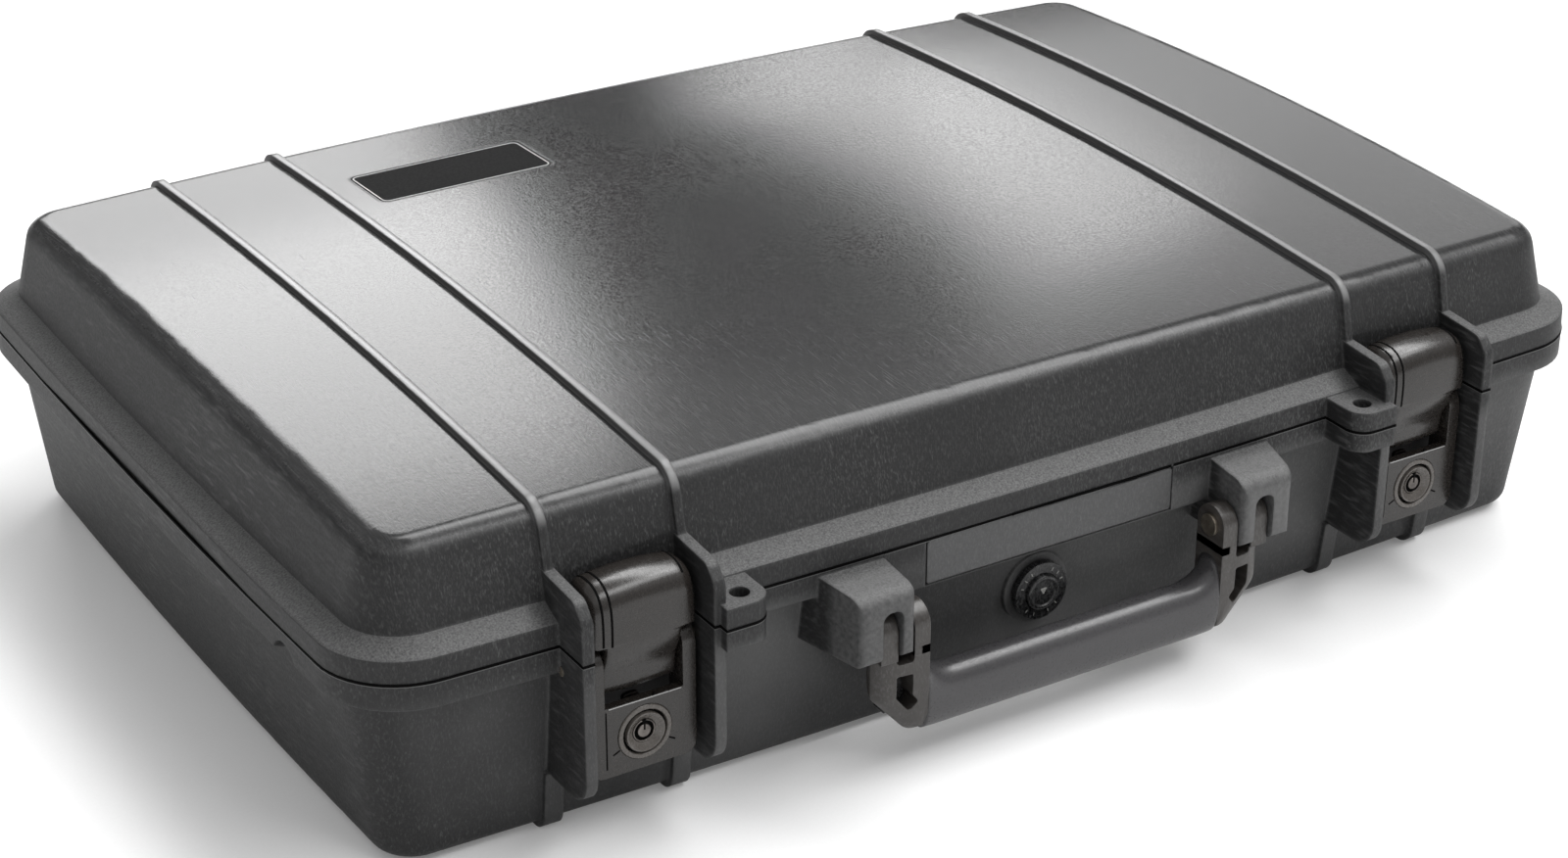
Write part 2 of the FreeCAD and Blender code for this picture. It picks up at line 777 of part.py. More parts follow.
def make_hook(side):
    """Bent plate: an eye below, a tongue between the arms and a wide head curled over the band."""
    x = latch_centres[side]
    half = lever_width / 2
    tongue_half = half - lever_arm_width - hook_tongue_gap
    front = latch_face - hook_proud
    top = parting_height + hook_top_rise
    shoulder = parting_height - hook_shoulder_below_parting
    nose_back = latch_face + pocket_setback - hook_nose_gap
    inner_radius = hook_bend_radius - hook_thickness
    head = prism_x([
        (front, shoulder, 0),
        (front, top - hook_shoulder_drop, hook_bend_radius),
        (nose_back, top, hook_thickness),
        (nose_back, top - hook_nose_drop, 0),
        (nose_back - hook_thickness, top - hook_nose_drop, 0),
        (nose_back - hook_thickness, top - hook_thickness, 0),
        (front + hook_thickness, top - hook_thickness - hook_shoulder_drop, inner_radius),
        (front + hook_thickness, shoulder, 0),
    ], (x - half, x + half))
    eye_front, eye_back = hook_axis_y - hook_eye_radius, hook_axis_y + hook_eye_radius
    eye_foot = hook_axis_height - hook_eye_radius
    tongue = prism_x([
        (eye_front, eye_foot, hook_eye_radius),
        (eye_back, eye_foot, hook_eye_radius),
        (eye_back, hook_axis_height + hook_eye_radius, 0),
        (front + hook_thickness, shoulder, 0),
        (front + hook_thickness, shoulder + cut_overrun, 0),
        (front, shoulder + cut_overrun, 0),
        (front, shoulder, 0),
        (eye_front, hook_axis_height, 0),
    ], (x - tongue_half, x + tongue_half))
    bore = rod_x(hook_pin_radius + running_fit, (x - half, x + half), hook_axis_y, hook_axis_height)
    grooves = []
    for offset in hook_groove_offsets:
        x_range = (x - offset - hook_groove_width / 2, x - offset + hook_groove_width / 2)
        z_range = (shoulder + hook_edge_radius, top - hook_bend_radius - hook_shoulder_drop)
        grooves.append(box(x_range, (front - cut_overrun, front + hook_groove_depth), z_range))
    return head.fuse(tongue).cut(bore).cut(Part.makeCompound(grooves))


def make_lock_bezel(side):
    """Flanged barrel in the lever plate, dished at the front."""
    x = latch_centres[side]
    front = latch_face - lever_proud
    flange = rod_y(bezel_radius, (front, front + bezel_flange), x, lock_height)
    barrel = rod_y(housing_radius, (front, front + housing_depth), x, lock_height)
    dish = Part.makeCone(bezel_dish_radius, core_ring_radius, bezel_dish_depth,
                         vec(x, front, lock_height), vec(0, 1, 0))
    bore = rod_y(core_radius + core_fit_gap, (front, front + housing_depth), x, lock_height)
    return flange.fuse(barrel).cut(dish).cut(bore)


def make_lock_core(side):
    """Key barrel with its slot."""
    x = latch_centres[side]
    front = latch_face - lever_proud + bezel_dish_depth - core_ring_height
    back = latch_face - lever_proud + housing_depth
    core = rod_y(core_radius, (front, back), x, lock_height)
    half = key_slot_width / 2
    slot = box((x - half, x + half), (front - cut_overrun, front + key_slot_depth),
               (lock_height - key_slot_width / 2, lock_height + key_slot_length))
    return core.cut(slot)


def make_lock_cam(side):
    """Flat bolt on the back end of the key barrel."""
    x = latch_centres[side]
    back = latch_face - lever_proud + housing_depth
    half = cam_width / 2
    corners = [
        (x - half, lock_height - half, half),
        (x + half, lock_height - half, half),
        (x + half, lock_height + cam_length, lever_plate_thickness / 2),
        (x - half, lock_height + cam_length, lever_plate_thickness / 2),
    ]
    return prism_y(corners, (back, back + cam_thickness))


def handle_slab(corners, y_inset=0):
    """Piece of the handle given by its (x, z) outline, across the handle's depth."""
    half = handle_depth / 2 - y_inset
    return prism_y(corners, (handle_axis_y - half, handle_axis_y + half))


def elbow(side):
    """One forked end of the handle: two prongs, a web and a hollow elbow."""
    prong_top = handle_axis_height + handle_depth / 2
    web_foot = handle_web_top - handle_web_thickness
    outline = handle_slab([
        (grip_end, handle_bottom_height, 0),
        (handle_outer - handle_elbow_inset, handle_bottom_height, handle_elbow_radius / 2),
        (handle_outer, handle_elbow_height, handle_elbow_radius),
        (handle_outer, prong_top, prong_edge_radius),
        (grip_end, prong_top, prong_edge_radius),
    ])
    rounding = rod_x(handle_depth / 2, (grip_end - cut_overrun, handle_outer + cut_overrun),
                     handle_axis_y, handle_axis_height)
    below = box((grip_end - cut_overrun, handle_outer + cut_overrun),
                (handle_axis_y - handle_depth / 2, handle_axis_y + handle_depth / 2),
                (0, handle_axis_height))
    body = outline.common(rounding.fuse(below))
    fork_slot = handle_slab([
        (inner_prong_face, handle_web_top, 0),
        (outer_prong_face, handle_web_top, 0),
        (outer_prong_face, prong_top + cut_overrun, 0),
        (inner_prong_face, prong_top + cut_overrun, 0),
    ], -cut_overrun)
    bend = handle_elbow_height + elbow_pocket_wall / 2
    foot_inset = handle_elbow_inset - elbow_pocket_wall
    pocket = prism_y([
        (inner_prong_face, web_foot, 0),
        (outer_prong_face, web_foot, 0),
        (outer_prong_face, bend, elbow_pocket_wall),
        (handle_outer - foot_inset, handle_bottom_height + 2 * elbow_pocket_wall, 0),
        (handle_outer - foot_inset - elbow_pocket_wall, handle_bottom_height + 3 * elbow_pocket_wall, 0),
        (inner_prong_face, bend, elbow_pocket_wall),
    ], (handle_axis_y - handle_depth / 2 - cut_overrun, handle_axis_y - handle_depth / 2 + elbow_pocket_depth))
    bore = rod_x(handle_pin_radius + running_fit, (grip_end - cut_overrun, handle_outer + cut_overrun),
                 handle_axis_y, handle_axis_height)
    return handed(body.cut(fork_slot).cut(pocket).cut(bore), side)


def grip_middle_height():
    return handle_bottom_height + grip_height / 2


def core_bar(gap):
    half_z, half_y = core_bar_height / 2 + gap, core_bar_depth / 2 + gap
    z = grip_middle_height()
    return box((-grip_end, grip_end), (handle_axis_y - half_y, handle_axis_y + half_y), (z - half_z, z + half_z))


def make_handle_frame():
    ends = [elbow(side) for side in SIDES.values()]
    return joined(ends + [core_bar(0)])


def make_handle_grip():
    """Soft sleeve round the handle's bar, rising into the inner corners."""
    top = handle_bottom_height + grip_height
    throat = grip_end - grip_throat_radius
    outline = handle_slab([
        (-grip_end, handle_bottom_height, 0),
        (grip_end, handle_bottom_height, 0),
        (grip_end, handle_web_top, 0),
        (grip_end - prong_edge_radius, handle_web_top, 0),
        (throat, top, grip_throat_radius),
        (-throat, top, grip_throat_radius),
        (prong_edge_radius - grip_end, handle_web_top, 0),
        (-grip_end, handle_web_top, 0),
    ])
    section = rounded_wire([
        (handle_axis_y + i * handle_depth / 2, z, grip_edge_radius)
        for i, z in ((-1, handle_bottom_height), (1, handle_bottom_height),
                     (1, handle_web_top + grip_height), (-1, handle_web_top + grip_height))
    ], lambda y, z: vec(-grip_end, y, z))
    tube = Part.Face(section).extrude(vec(2 * grip_end, 0, 0))
    return outline.common(tube).cut(core_bar(0))


def make_handle_pin(side):
    head_face = grip_end
    end = handle_outer + prong_side_gap + handle_pin_reach
    pin = rod_x(handle_pin_radius, (head_face, end), handle_axis_y, handle_axis_height)
    head = rod_x(handle_pin_head_radius, (head_face - handle_pin_head, head_face - running_fit),
                 handle_axis_y, handle_axis_height)
    neck = rod_x(handle_pin_radius, (head_face - handle_pin_head, head_face), handle_axis_y, handle_axis_height)
    return handed(joined([pin, neck, head]), SIDES[side])


def make_valve_body():
    """Flanged stem through the front wall."""
    front = valve_face - valve_seal_thickness - valve_flange
    flange = rod_y(valve_flange_radius, (front, front + valve_flange), 0, valve_height)
    stem = rod_y(valve_stem_radius, (front, front + valve_stem_length), 0, valve_height)
    seat = rod_y(valve_knob_radius + valve_fit_gap, (front - cut_overrun, front + valve_flange / 2), 0, valve_height)
    body = flange.fuse(stem).cut(seat)
    vent = rod_y(valve_slot_width, (front - cut_overrun, front + valve_stem_length + cut_overrun), 0, valve_height)
    return body.cut(vent)


def make_valve_knob():
    """Round cap in the valve's flange, with a pointer slot."""
    front = valve_face - valve_seal_thickness - valve_flange
    cap = rod_y(valve_knob_radius, (front - valve_knob_proud, front + valve_flange / 2), 0, valve_height)
    half = valve_slot_width / 2
    slot = box((-half, half), (front - valve_knob_proud - cut_overrun, front - valve_knob_proud + valve_slot_depth),
               (valve_height - half, valve_height + valve_knob_radius - half))
    return cap.cut(slot)


def make_valve_seal():
    y_range = (valve_face - valve_seal_thickness, valve_face)
    ring = rod_y(valve_seal_radius, y_range, 0, valve_height)
    return ring.cut(rod_y(valve_stem_radius + valve_fit_gap, y_range, 0, valve_height))


def make_valve_nut():
    """Hexagon nut against the inside of the wall."""
    corners = [
        (valve_nut_radius * math.cos(turn), valve_height + valve_nut_radius * math.sin(turn), 0)
        for turn in [math.radians(60 * index) for index in range(6)]
    ]
    y_range = (inner_wall_y, inner_wall_y + valve_nut_thickness)
    nut = prism_y(corners, y_range)
    return nut.cut(rod_y(valve_stem_radius + running_fit, y_range, 0, valve_height))


def foam_pocket(gap, z_range):
    """Room for a laptop inside the rim, drawn in all round by a gap."""
    half_x = half_length - rim_inset - foam_end_wall - gap
    half_y = half_depth - rim_inset - foam_side_wall - gap
    corners = [(i * half_x, j * half_y, pocket_corner_radius - gap)
               for i, j in ((-1, -1), (1, -1), (1, 1), (-1, 1))]
    return prism_z(corners, z_range)


def make_base_foam():
    """Foam tray with a pocket for a laptop and a relief round the valve nut."""
    tray = base_cavity(foam_gap, parting_height - foam_gap)
    pocket = foam_pocket(0, (pocket_floor_height, parting_height + cut_overrun))
    relief = rod_y(valve_nut_radius + foam_gap, (-half_depth, inner_wall_y + valve_stem_length / 2), 0, valve_height)
    return tray.cut(pocket).cut(relief)


def make_base_pad():
    return foam_pocket(pad_gap, (pocket_floor_height, pocket_floor_height + pad_thickness))


def make_lid_foam():
    bottom = parting_height + foam_gap
    block = case_loft([
        (rim_inset + cavity_draft + foam_gap, bottom),
        (rim_inset + cavity_draft + foam_gap, case_height),
    ])
    return under_crown(block, lid_top - wall - foam_gap, cavity_radius)


def all_parts():
    parts = {
        "base_shell": make_base_shell(),
        "lid_shell": make_lid_shell(),
        "lid_seal": make_lid_seal(),
        "lid_foam": make_lid_foam(),
        "base_foam": make_base_foam(),
        "base_pad": make_base_pad(),
        "nameplate_blank": make_nameplate(),
        "handle_frame": make_handle_frame(),
        "handle_grip": make_handle_grip(),
        "valve_body": make_valve_body(),
        "valve_knob": make_valve_knob(),
        "valve_seal": make_valve_seal(),
        "valve_nut": make_valve_nut(),
    }
    for side in SIDES:
        parts["hinge_pin_" + side] = make_hinge_pin(side)
        parts["handle_pin_" + side] = make_handle_pin(side)
        parts["latch_lever_" + side] = make_lever(side)
        parts["latch_hook_" + side] = make_hook(side)
        parts["lever_pins_" + side] = make_lever_pins(side)
        parts["hook_pin_" + side] = make_hook_pin(side)
        parts["lock_bezel_" + side] = make_lock_bezel(side)
        parts["lock_core_" + side] = make_lock_core(side)
        parts["lock_cam_" + side] = make_lock_cam(side)
    return parts


os.makedirs("parts", exist_ok=True)
for name, shape in all_parts().items():
    shape.translate(vec(0, -middle_y, 0))
    shape.exportStep("parts/" + name + ".step")
    print(name, len(shape.Solids), round(shape.Volume), shape.isValid())
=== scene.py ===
import json
import math

import bmesh
import bpy
from mathutils import Euler, Matrix, Vector


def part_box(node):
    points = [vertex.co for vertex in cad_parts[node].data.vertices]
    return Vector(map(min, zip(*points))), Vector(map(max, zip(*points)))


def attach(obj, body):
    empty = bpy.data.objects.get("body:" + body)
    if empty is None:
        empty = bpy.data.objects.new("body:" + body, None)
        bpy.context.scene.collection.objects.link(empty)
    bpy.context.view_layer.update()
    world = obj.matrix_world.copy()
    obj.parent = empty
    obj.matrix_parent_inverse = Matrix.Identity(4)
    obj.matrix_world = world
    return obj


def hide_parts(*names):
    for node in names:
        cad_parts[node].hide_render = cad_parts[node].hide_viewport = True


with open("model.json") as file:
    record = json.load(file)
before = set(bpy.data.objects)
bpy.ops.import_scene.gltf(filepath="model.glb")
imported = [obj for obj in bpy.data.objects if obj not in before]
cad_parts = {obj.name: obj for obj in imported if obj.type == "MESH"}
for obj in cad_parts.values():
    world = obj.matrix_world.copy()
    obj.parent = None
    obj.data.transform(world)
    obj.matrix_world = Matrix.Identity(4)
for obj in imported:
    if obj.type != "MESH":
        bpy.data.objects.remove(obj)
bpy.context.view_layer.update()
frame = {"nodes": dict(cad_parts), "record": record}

# Everything is in metres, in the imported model's frame: +X along the front, -Y out of the
# front, +Z up, and the ribs under the base stand on z = 0.

# Camera, as solved from the straight edges in the photograph (image 1600 x 876)
IMAGE_WIDTH = 1600
IMAGE_HEIGHT = 876
CAMERA_PLACE = (-0.5746, -0.92498, 0.5807)
CAMERA_TURN = (63.257, -0.859, -33.178)
FOCAL_PIXELS = 3312.3
PRINCIPAL_X = 900.0  # in pixels, right of the middle because the photograph is cropped
PRINCIPAL_Y = 438.0
SENSOR_WIDTH = 36.0

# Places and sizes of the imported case, in metres
MM = 0.001
SIDES = ("left", "right")
PARTING = 75 * MM  # height of the plane between base and lid
MIDDLE_Y = 6.124 * MM  # middle of the band's depth
HALF_LENGTH = 252.5 * MM
HALF_DEPTH = 170 * MM
FRONT_BOW = 4 * MM  # how far front and back bulge between their corners
SIDE_BOW = 2 * MM
CROWN_TOP = 121 * MM  # height of the crowned top at its middle, and how far it falls to the edges
CROWN_FRONT_DROP = 5.9 * MM
CROWN_SIDE_DROP = 2.6 * MM
LID_WALL = 4.4 * MM  # from the crowned top down to the lid foam's back
LATCH_X = 158.5 * MM
RIB_FROM_LATCH = 23 * MM

# Where the looks of the shells change: each pair is where a mask begins and where it is full. The heights and
# depths are places, the reaches are distances from the middle or from a rib's line, and the rest are normals.
POLISHED_HEIGHT = (104 * MM, 110 * MM)
RIB_HEIGHT = (109 * MM, 114 * MM)
RIB_REACH = (1.9 * MM, 1.2 * MM)
LUG_FRONT = (-166 * MM, -172 * MM)
LUG_REACH = (112 * MM, 104 * MM)
BELOW_BAND = (72 * MM, 64 * MM)
WALL_FRONT = (-146 * MM, -152 * MM)
TOP_FACING = (0.4, 0.98)
LEDGE_FACING = (0.55, 0.9)
FRONT_FACING = (-0.6, -0.9)
EDGE_LEAN = (0.02, 0.22)


def node(name):
    """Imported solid's object."""
    return frame["nodes"][name]


class Graph:
    """Small helper that builds a material's node tree."""

    def __init__(self, name):
        self.material = bpy.data.materials.new(name)
        self.material.use_nodes = True
        self.nodes = self.material.node_tree.nodes
        self.links = self.material.node_tree.links
        self.shader = self.nodes["Principled BSDF"]
        self.coords = self.nodes.new("ShaderNodeTexCoord").outputs["Object"]

    def link(self, source, target):
        self.links.new(source, target)

    def mapped(self, scale, turn=(0, 0, 0), source=None):
        made = self.nodes.new("ShaderNodeMapping")
        made.inputs["Scale"].default_value = scale
        made.inputs["Rotation"].default_value = [math.radians(a) for a in turn]
        self.link(source or self.coords, made.inputs["Vector"])
        return made.outputs["Vector"]

    def noise(self, scale, detail=2.0, rough=0.5, source=None):
        made = self.nodes.new("ShaderNodeTexNoise")
        made.inputs["Scale"].default_value = scale
        made.inputs["Detail"].default_value = detail
        made.inputs["Roughness"].default_value = rough
        self.link(source or self.coords, made.inputs["Vector"])
        return made.outputs["Fac"]

    def pebbles(self, scale):
        made = self.nodes.new("ShaderNodeTexVoronoi")
        made.feature = "SMOOTH_F1"
        made.inputs["Scale"].default_value = scale
        self.link(self.coords, made.inputs["Vector"])
        return made.outputs["Distance"]

    def ramp(self, value, low, high, out_low=0.0, out_high=1.0, smooth=False):
        made = self.nodes.new("ShaderNodeMapRange")
        made.interpolation_type = "SMOOTHSTEP" if smooth else "LINEAR"
        made.inputs["From Min"].default_value = low
        made.inputs["From Max"].default_value = high
        made.inputs["To Min"].default_value = out_low
        made.inputs["To Max"].default_value = out_high
        self.link(value, made.inputs["Value"])
        return made.outputs["Result"]

    def math(self, kind, a, b=0.0):
        made = self.nodes.new("ShaderNodeMath")
        made.operation = kind
        for socket, value in zip(made.inputs, (a, b)):
            if isinstance(value, (int, float)):
                socket.default_value = value
            else:
                self.link(value, socket)
        return made.outputs["Value"]

    def times(self, first, *others):
        for other in others:
            first = self.math("MULTIPLY", first, other)
        return first

    def mix(self, factor, first, second):
        made = self.nodes.new("ShaderNodeMix")
        made.data_type = "RGBA"
        first_colour, second_colour = made.inputs[6], made.inputs[7]
        for socket, value in ((made.inputs["Factor"], factor), (first_colour, first), (second_colour, second)):
            if isinstance(value, (int, float)):
                socket.default_value = value
            elif isinstance(value, tuple):
                socket.default_value = value + (1.0,)
            else:
                self.link(value, socket)
        return made.outputs[2]

    def bump(self, height, strength, distance, normal=None):
        made = self.nodes.new("ShaderNodeBump")
        made.inputs["Strength"].default_value = strength
        made.inputs["Distance"].default_value = distance
        self.link(height, made.inputs["Height"])
        if normal is not None:
            self.link(normal, made.inputs["Normal"])
        return made.outputs["Normal"]

    def split(self, vector):
        made = self.nodes.new("ShaderNodeSeparateXYZ")
        self.link(vector, made.inputs["Vector"])
        return made.outputs

    def place(self):
        """X, Y and Z of the surface."""
        return self.split(self.coords)

    def facing(self):
        """X, Y and Z of the object's own normal."""
        return self.split(self.coords.node.outputs["Normal"])

    def lid_top(self):
        """1 on the lid's crowned top, by height and by how far its surface faces up."""
        high = self.ramp(self.place()["Z"], *POLISHED_HEIGHT, smooth=True)
        return self.times(high, self.ramp(self.facing()["Z"], *TOP_FACING, smooth=True))

    def handle_lugs(self):
        """Grows over the lugs that stand out of the front and carry the handle."""
        place = self.place()
        proud = self.ramp(place["Y"], *LUG_FRONT, smooth=True)
        return self.times(proud, self.ramp(self.math("ABSOLUTE", place["X"]), *LUG_REACH))

    def ribs(self):
        """1 on the lid's four ribs, which stand in pairs about the latches' lines."""
        place = self.place()
        off = self.math("ABSOLUTE", place["X"])
        for line in (LATCH_X, RIB_FROM_LATCH):
            off = self.math("ABSOLUTE", self.math("SUBTRACT", off, line))
        high = self.ramp(place["Z"], *RIB_HEIGHT, smooth=True)
        return self.times(high, self.ramp(off, *RIB_REACH))

    def lower_front(self):
        """1 on surfaces under the band that look out of the front."""
        place = self.place()
        low = self.ramp(place["Z"], *BELOW_BAND, smooth=True)
        outside = self.ramp(place["Y"], *WALL_FRONT)
        return self.times(low, outside, self.ramp(self.facing()["Y"], *FRONT_FACING))

    def ledge(self):
        """1 on surfaces that face up, where a painted highlight goes."""
        return self.ramp(self.facing()["Z"], *LEDGE_FACING, smooth=True)

    def rounded(self, radius):
        made = self.nodes.new("ShaderNodeBevel")
        made.samples = 4
        made.inputs["Radius"].default_value = radius
        return made.outputs["Normal"]

    def edge_mask(self, rounded_normal):
        """How far the rounded normal leans from the face's own: 1 along worn edges."""
        geometry = self.nodes.new("ShaderNodeNewGeometry")
        dot = self.nodes.new("ShaderNodeVectorMath")
        dot.operation = "DOT_PRODUCT"
        self.link(rounded_normal, dot.inputs[0])
        self.link(geometry.outputs["Normal"], dot.inputs[1])
        lean = self.math("SUBTRACT", 1.0, dot.outputs["Value"])
        return self.ramp(lean, *EDGE_LEAN, smooth=True)


def scaled(colour, factor):
    """Colour made darker or lighter."""
    return tuple(min(1.0, c * factor) for c in colour)


GRAIN = 1500.0  # pebbles per metre in moulded plastic
BLOTCH = 0.12  # how much lighter and darker the cloudy patches are
WALL_GRAIN = 3.0  # how much deeper the grain gets off the polished top
BUMP_DISTANCE = 0.12 * MM
SCRATCH_TURNS = (12.0, 58.0, 101.0, 149.0)
SCRATCH_SPREAD = 16.0  # length of a scratch over its width
# Light grey of worn edges and scratches, which is also painted on the shells as highlights
WEAR_AND_HIGHLIGHT = (0.16, 0.16, 0.16)
# Light grey painted highlight along the lid's ribs
RIB_HIGHLIGHT = (0.34, 0.34, 0.34)


def hairlines(g):
    """Fine scratches: strongly stretched noise in several directions, each stronger in its own patches."""
    size = GRAIN * 1.1
    total = None
    for index, turn in enumerate(SCRATCH_TURNS):
        stretched = g.mapped((size, size / SCRATCH_SPREAD, size / 3), (0, 0.4 * turn, turn))
        lines = g.ramp(g.noise(1.0, 1.0, source=stretched), 0.56, 0.78)
        patch = g.noise(7.0 + 2.0 * index, 1.0, source=g.mapped((1, 1, 1), (0, 0, 31.0 * index + 7.0)))
        layer = g.times(lines, g.ramp(patch, 0.3, 0.75, smooth=True))
        total = layer if total is None else g.math("MAXIMUM", total, layer)
    return total


def case_wear_and_light(g, tone, fine, lines, dull):
    """Shells' wear and painted highlights: lugs, ledges and ribs painted lighter, lower front lighter with scuffs, and
    swirls of scuffs.
    """
    # Painted highlight: the lugs that carry the handle are painted lighter, in mottled patches
    lug_highlight = g.times(g.handle_lugs(), g.ramp(g.noise(GRAIN * 0.4, 3.0), 0.3, 0.7, 0.4, 1.0))
    tone = g.mix(g.times(lug_highlight, 0.5), tone, WEAR_AND_HIGHLIGHT)
    # Painted highlight: surfaces that face up, off the polished top, are painted lighter in fine patches
    ledge_highlight = g.times(dull, g.ledge(), g.ramp(fine, 0.3, 0.7, 0.2, 0.75))
    tone = g.mix(ledge_highlight, tone, WEAR_AND_HIGHLIGHT)
    # Painted highlight: the ribs on the lid are painted light grey
    tone = g.mix(g.times(g.ribs(), 0.5), tone, RIB_HIGHLIGHT)
    # Painted light and scuffs: walls under the band that face the front are painted lighter in cloudy patches
    front_light_and_scuffs = g.times(g.lower_front(), g.ramp(g.noise(11.0, 3.0), 0.35, 0.65, 0.12, 0.45, smooth=True))
    tone = g.mix(front_light_and_scuffs, tone, WEAR_AND_HIGHLIGHT)
    swirls = g.times(lines, g.ramp(g.noise(9.0, 2.0), 0.42, 0.62, smooth=True), dull, 0.25)
    return g.mix(swirls, tone, WEAR_AND_HIGHLIGHT)


def moulded(name, colour, rough, grain_depth=0.1, edge=0.0010, wear=0.5, scratches=0.3, specular=0.5,
            worn_colour=WEAR_AND_HIGHLIGHT, wall_rough=None):
    """Moulded plastic: pebble grain, hairline scuffs, faint blotches and slightly worn edges.

    With wall_rough, all but the lid's polished top is that rough and more deeply grained, and the shell gets scuffs
    and painted highlights on its lugs, up-facing ledges, ribs and lower front.
    """
    g = Graph(name)
    rounded_normal = g.rounded(edge)
    worn = g.edge_mask(rounded_normal)
    fine = g.noise(GRAIN, 2.0, 0.6)
    height = g.math("ADD", fine, g.times(g.pebbles(GRAIN * 0.55), 0.8))
    lines = hairlines(g)
    tone = g.mix(g.ramp(g.noise(14.0, 4.0, 0.55), 0.3, 0.7), scaled(colour, 1.0 - BLOTCH), scaled(colour, 1.0 + BLOTCH))
    tone = g.mix(g.ramp(fine, 0.35, 0.65, 0.0, 0.35), tone, scaled(colour, 1.7))
    roughness = g.ramp(g.noise(GRAIN * 0.7, 2.0), 0.3, 0.7, rough - 0.05, rough + 0.05)
    roughness = g.math("ADD", roughness, g.times(lines, 0.2 * scratches))
    if wall_rough is not None:
        dull = g.math("SUBTRACT", 1.0, g.lid_top())
        height = g.times(height, g.math("ADD", 1.0, g.times(dull, WALL_GRAIN)))
        tone = case_wear_and_light(g, tone, fine, lines, dull)
        roughness = g.math("ADD", roughness, g.times(dull, wall_rough - rough))
    tone = g.mix(g.times(lines, scratches), tone, worn_colour)
    chips = g.times(worn, g.ramp(g.noise(260.0, 3.0), 0.3, 0.6, 0.3, 1.0))
    tone = g.mix(g.times(chips, wear), tone, worn_colour)
    g.link(tone, g.shader.inputs["Base Color"])
    g.link(roughness, g.shader.inputs["Roughness"])
    g.shader.inputs["Specular IOR Level"].default_value = specular
    g.link(g.bump(height, grain_depth, BUMP_DISTANCE, rounded_normal), g.shader.inputs["Normal"])
    return g.material


def unworn(name, colour, rough, specular=0.5):
    """Plastic without wear, for thin lines and marks."""
    return moulded(name, colour, rough, grain_depth=0.05, edge=0.0001, wear=0.0, scratches=0.0, specular=specular)


def foam_material(name, colour):
    """Open-cell foam: fine dark pores on a dull grey."""
    g = Graph(name)
    pores = g.pebbles(1400.0)
    soft = g.noise(35.0, 3.0)
    tone = g.mix(g.ramp(pores, 0.15, 0.55), scaled(colour, 0.45), scaled(colour, 1.25))
    tone = g.mix(g.ramp(soft, 0.35, 0.65, 0.0, 0.35), tone, scaled(colour, 1.5))
    g.link(tone, g.shader.inputs["Base Color"])
    g.shader.inputs["Roughness"].default_value = 0.95
    g.shader.inputs["Specular IOR Level"].default_value = 0.2
    g.shader.inputs["Sheen Weight"].default_value = 0.15
    g.link(g.bump(pores, 0.8, 0.0006), g.shader.inputs["Normal"])
    return g.material


def metal_material(name, colour, rough):
    """Turned or drawn metal with fine lines and a little tarnish."""
    g = Graph(name)
    rounded_normal = g.rounded(0.0003)
    lines = g.noise(1.0, 2.0, source=g.mapped((54.0, 1800.0, 1800.0)))
    tarnish = g.noise(180.0, 4.0, 0.6)
    g.link(g.mix(g.ramp(tarnish, 0.4, 0.7), colour, scaled(colour, 0.55)), g.shader.inputs["Base Color"])
    g.link(g.ramp(lines, 0.3, 0.7, rough - 0.08, rough + 0.1), g.shader.inputs["Roughness"])
    g.shader.inputs["Metallic"].default_value = 1.0
    g.link(g.bump(lines, 0.15, 0.00005, rounded_normal), g.shader.inputs["Normal"])
    return g.material


CASE = (0.016, 0.0161, 0.0165)
MATERIALS = {
    "case_shell": moulded("case_shell_grain", CASE, 0.14, edge=0.002, wear=0.35, scratches=0.2, specular=0.28,
                          wall_rough=0.55),
    "case_trim": moulded("case_trim_grain", scaled(CASE, 2.6), 0.42, grain_depth=0.14),
    "black_plastic": moulded("black_plastic_grain", (0.005, 0.005, 0.0055), 0.28, edge=0.0006, wear=0.2),
    "handle_plastic": moulded("handle_plastic_grain", (0.028, 0.0245, 0.022), 0.34, grain_depth=0.05, edge=0.0006,
                              wear=0.3),
    "grip_rubber": moulded("grip_rubber_grain", (0.040, 0.039, 0.041), 0.30, grain_depth=0.05, edge=0.0005,
                           wear=0.05, scratches=0.05),
    "latch_plastic": moulded("latch_plastic_grain", (0.0135, 0.0115, 0.0102), 0.24, grain_depth=0.04, edge=0.0004,
                             wear=0.35, scratches=0.12, worn_colour=(0.13, 0.115, 0.10)),
    "lock_bezel": moulded("lock_bezel_satin", (0.075, 0.067, 0.06), 0.26, grain_depth=0.03, edge=0.0002, wear=0.3,
                          scratches=0.1),
    "foam": foam_material("foam_cells", (0.045, 0.045, 0.048)),
    "seal_rubber": moulded("seal_rubber_dull", (0.012, 0.012, 0.012), 0.6, edge=0.0008, wear=0.0),
    "pin_steel": metal_material("pin_steel_drawn", (0.50, 0.44, 0.36), 0.35),
    "lock_metal": metal_material("lock_metal_turned", (0.17, 0.155, 0.145), 0.34),
}
# Near-black for painted shade in grooves, gaps and recesses
GROOVE_SHADOW = unworn("groove_shadow", (0.002, 0.002, 0.002), 0.7, specular=0.03)
LIT_EDGE = unworn("lit_edge_worn", (0.32, 0.32, 0.32), 0.35)
# Painted highlight for the base's edge under the parting line
SEAM_HIGHLIGHT = unworn("seam_edge_highlight", (0.07, 0.07, 0.07), 0.35)
MARK = unworn("pale_mark", (0.22, 0.22, 0.21), 0.5)
LABEL = moulded("label_black", (0.004, 0.004, 0.004), 0.62, grain_depth=0.02, edge=0.0003, wear=0.0, scratches=0.0,
                specular=0.04)


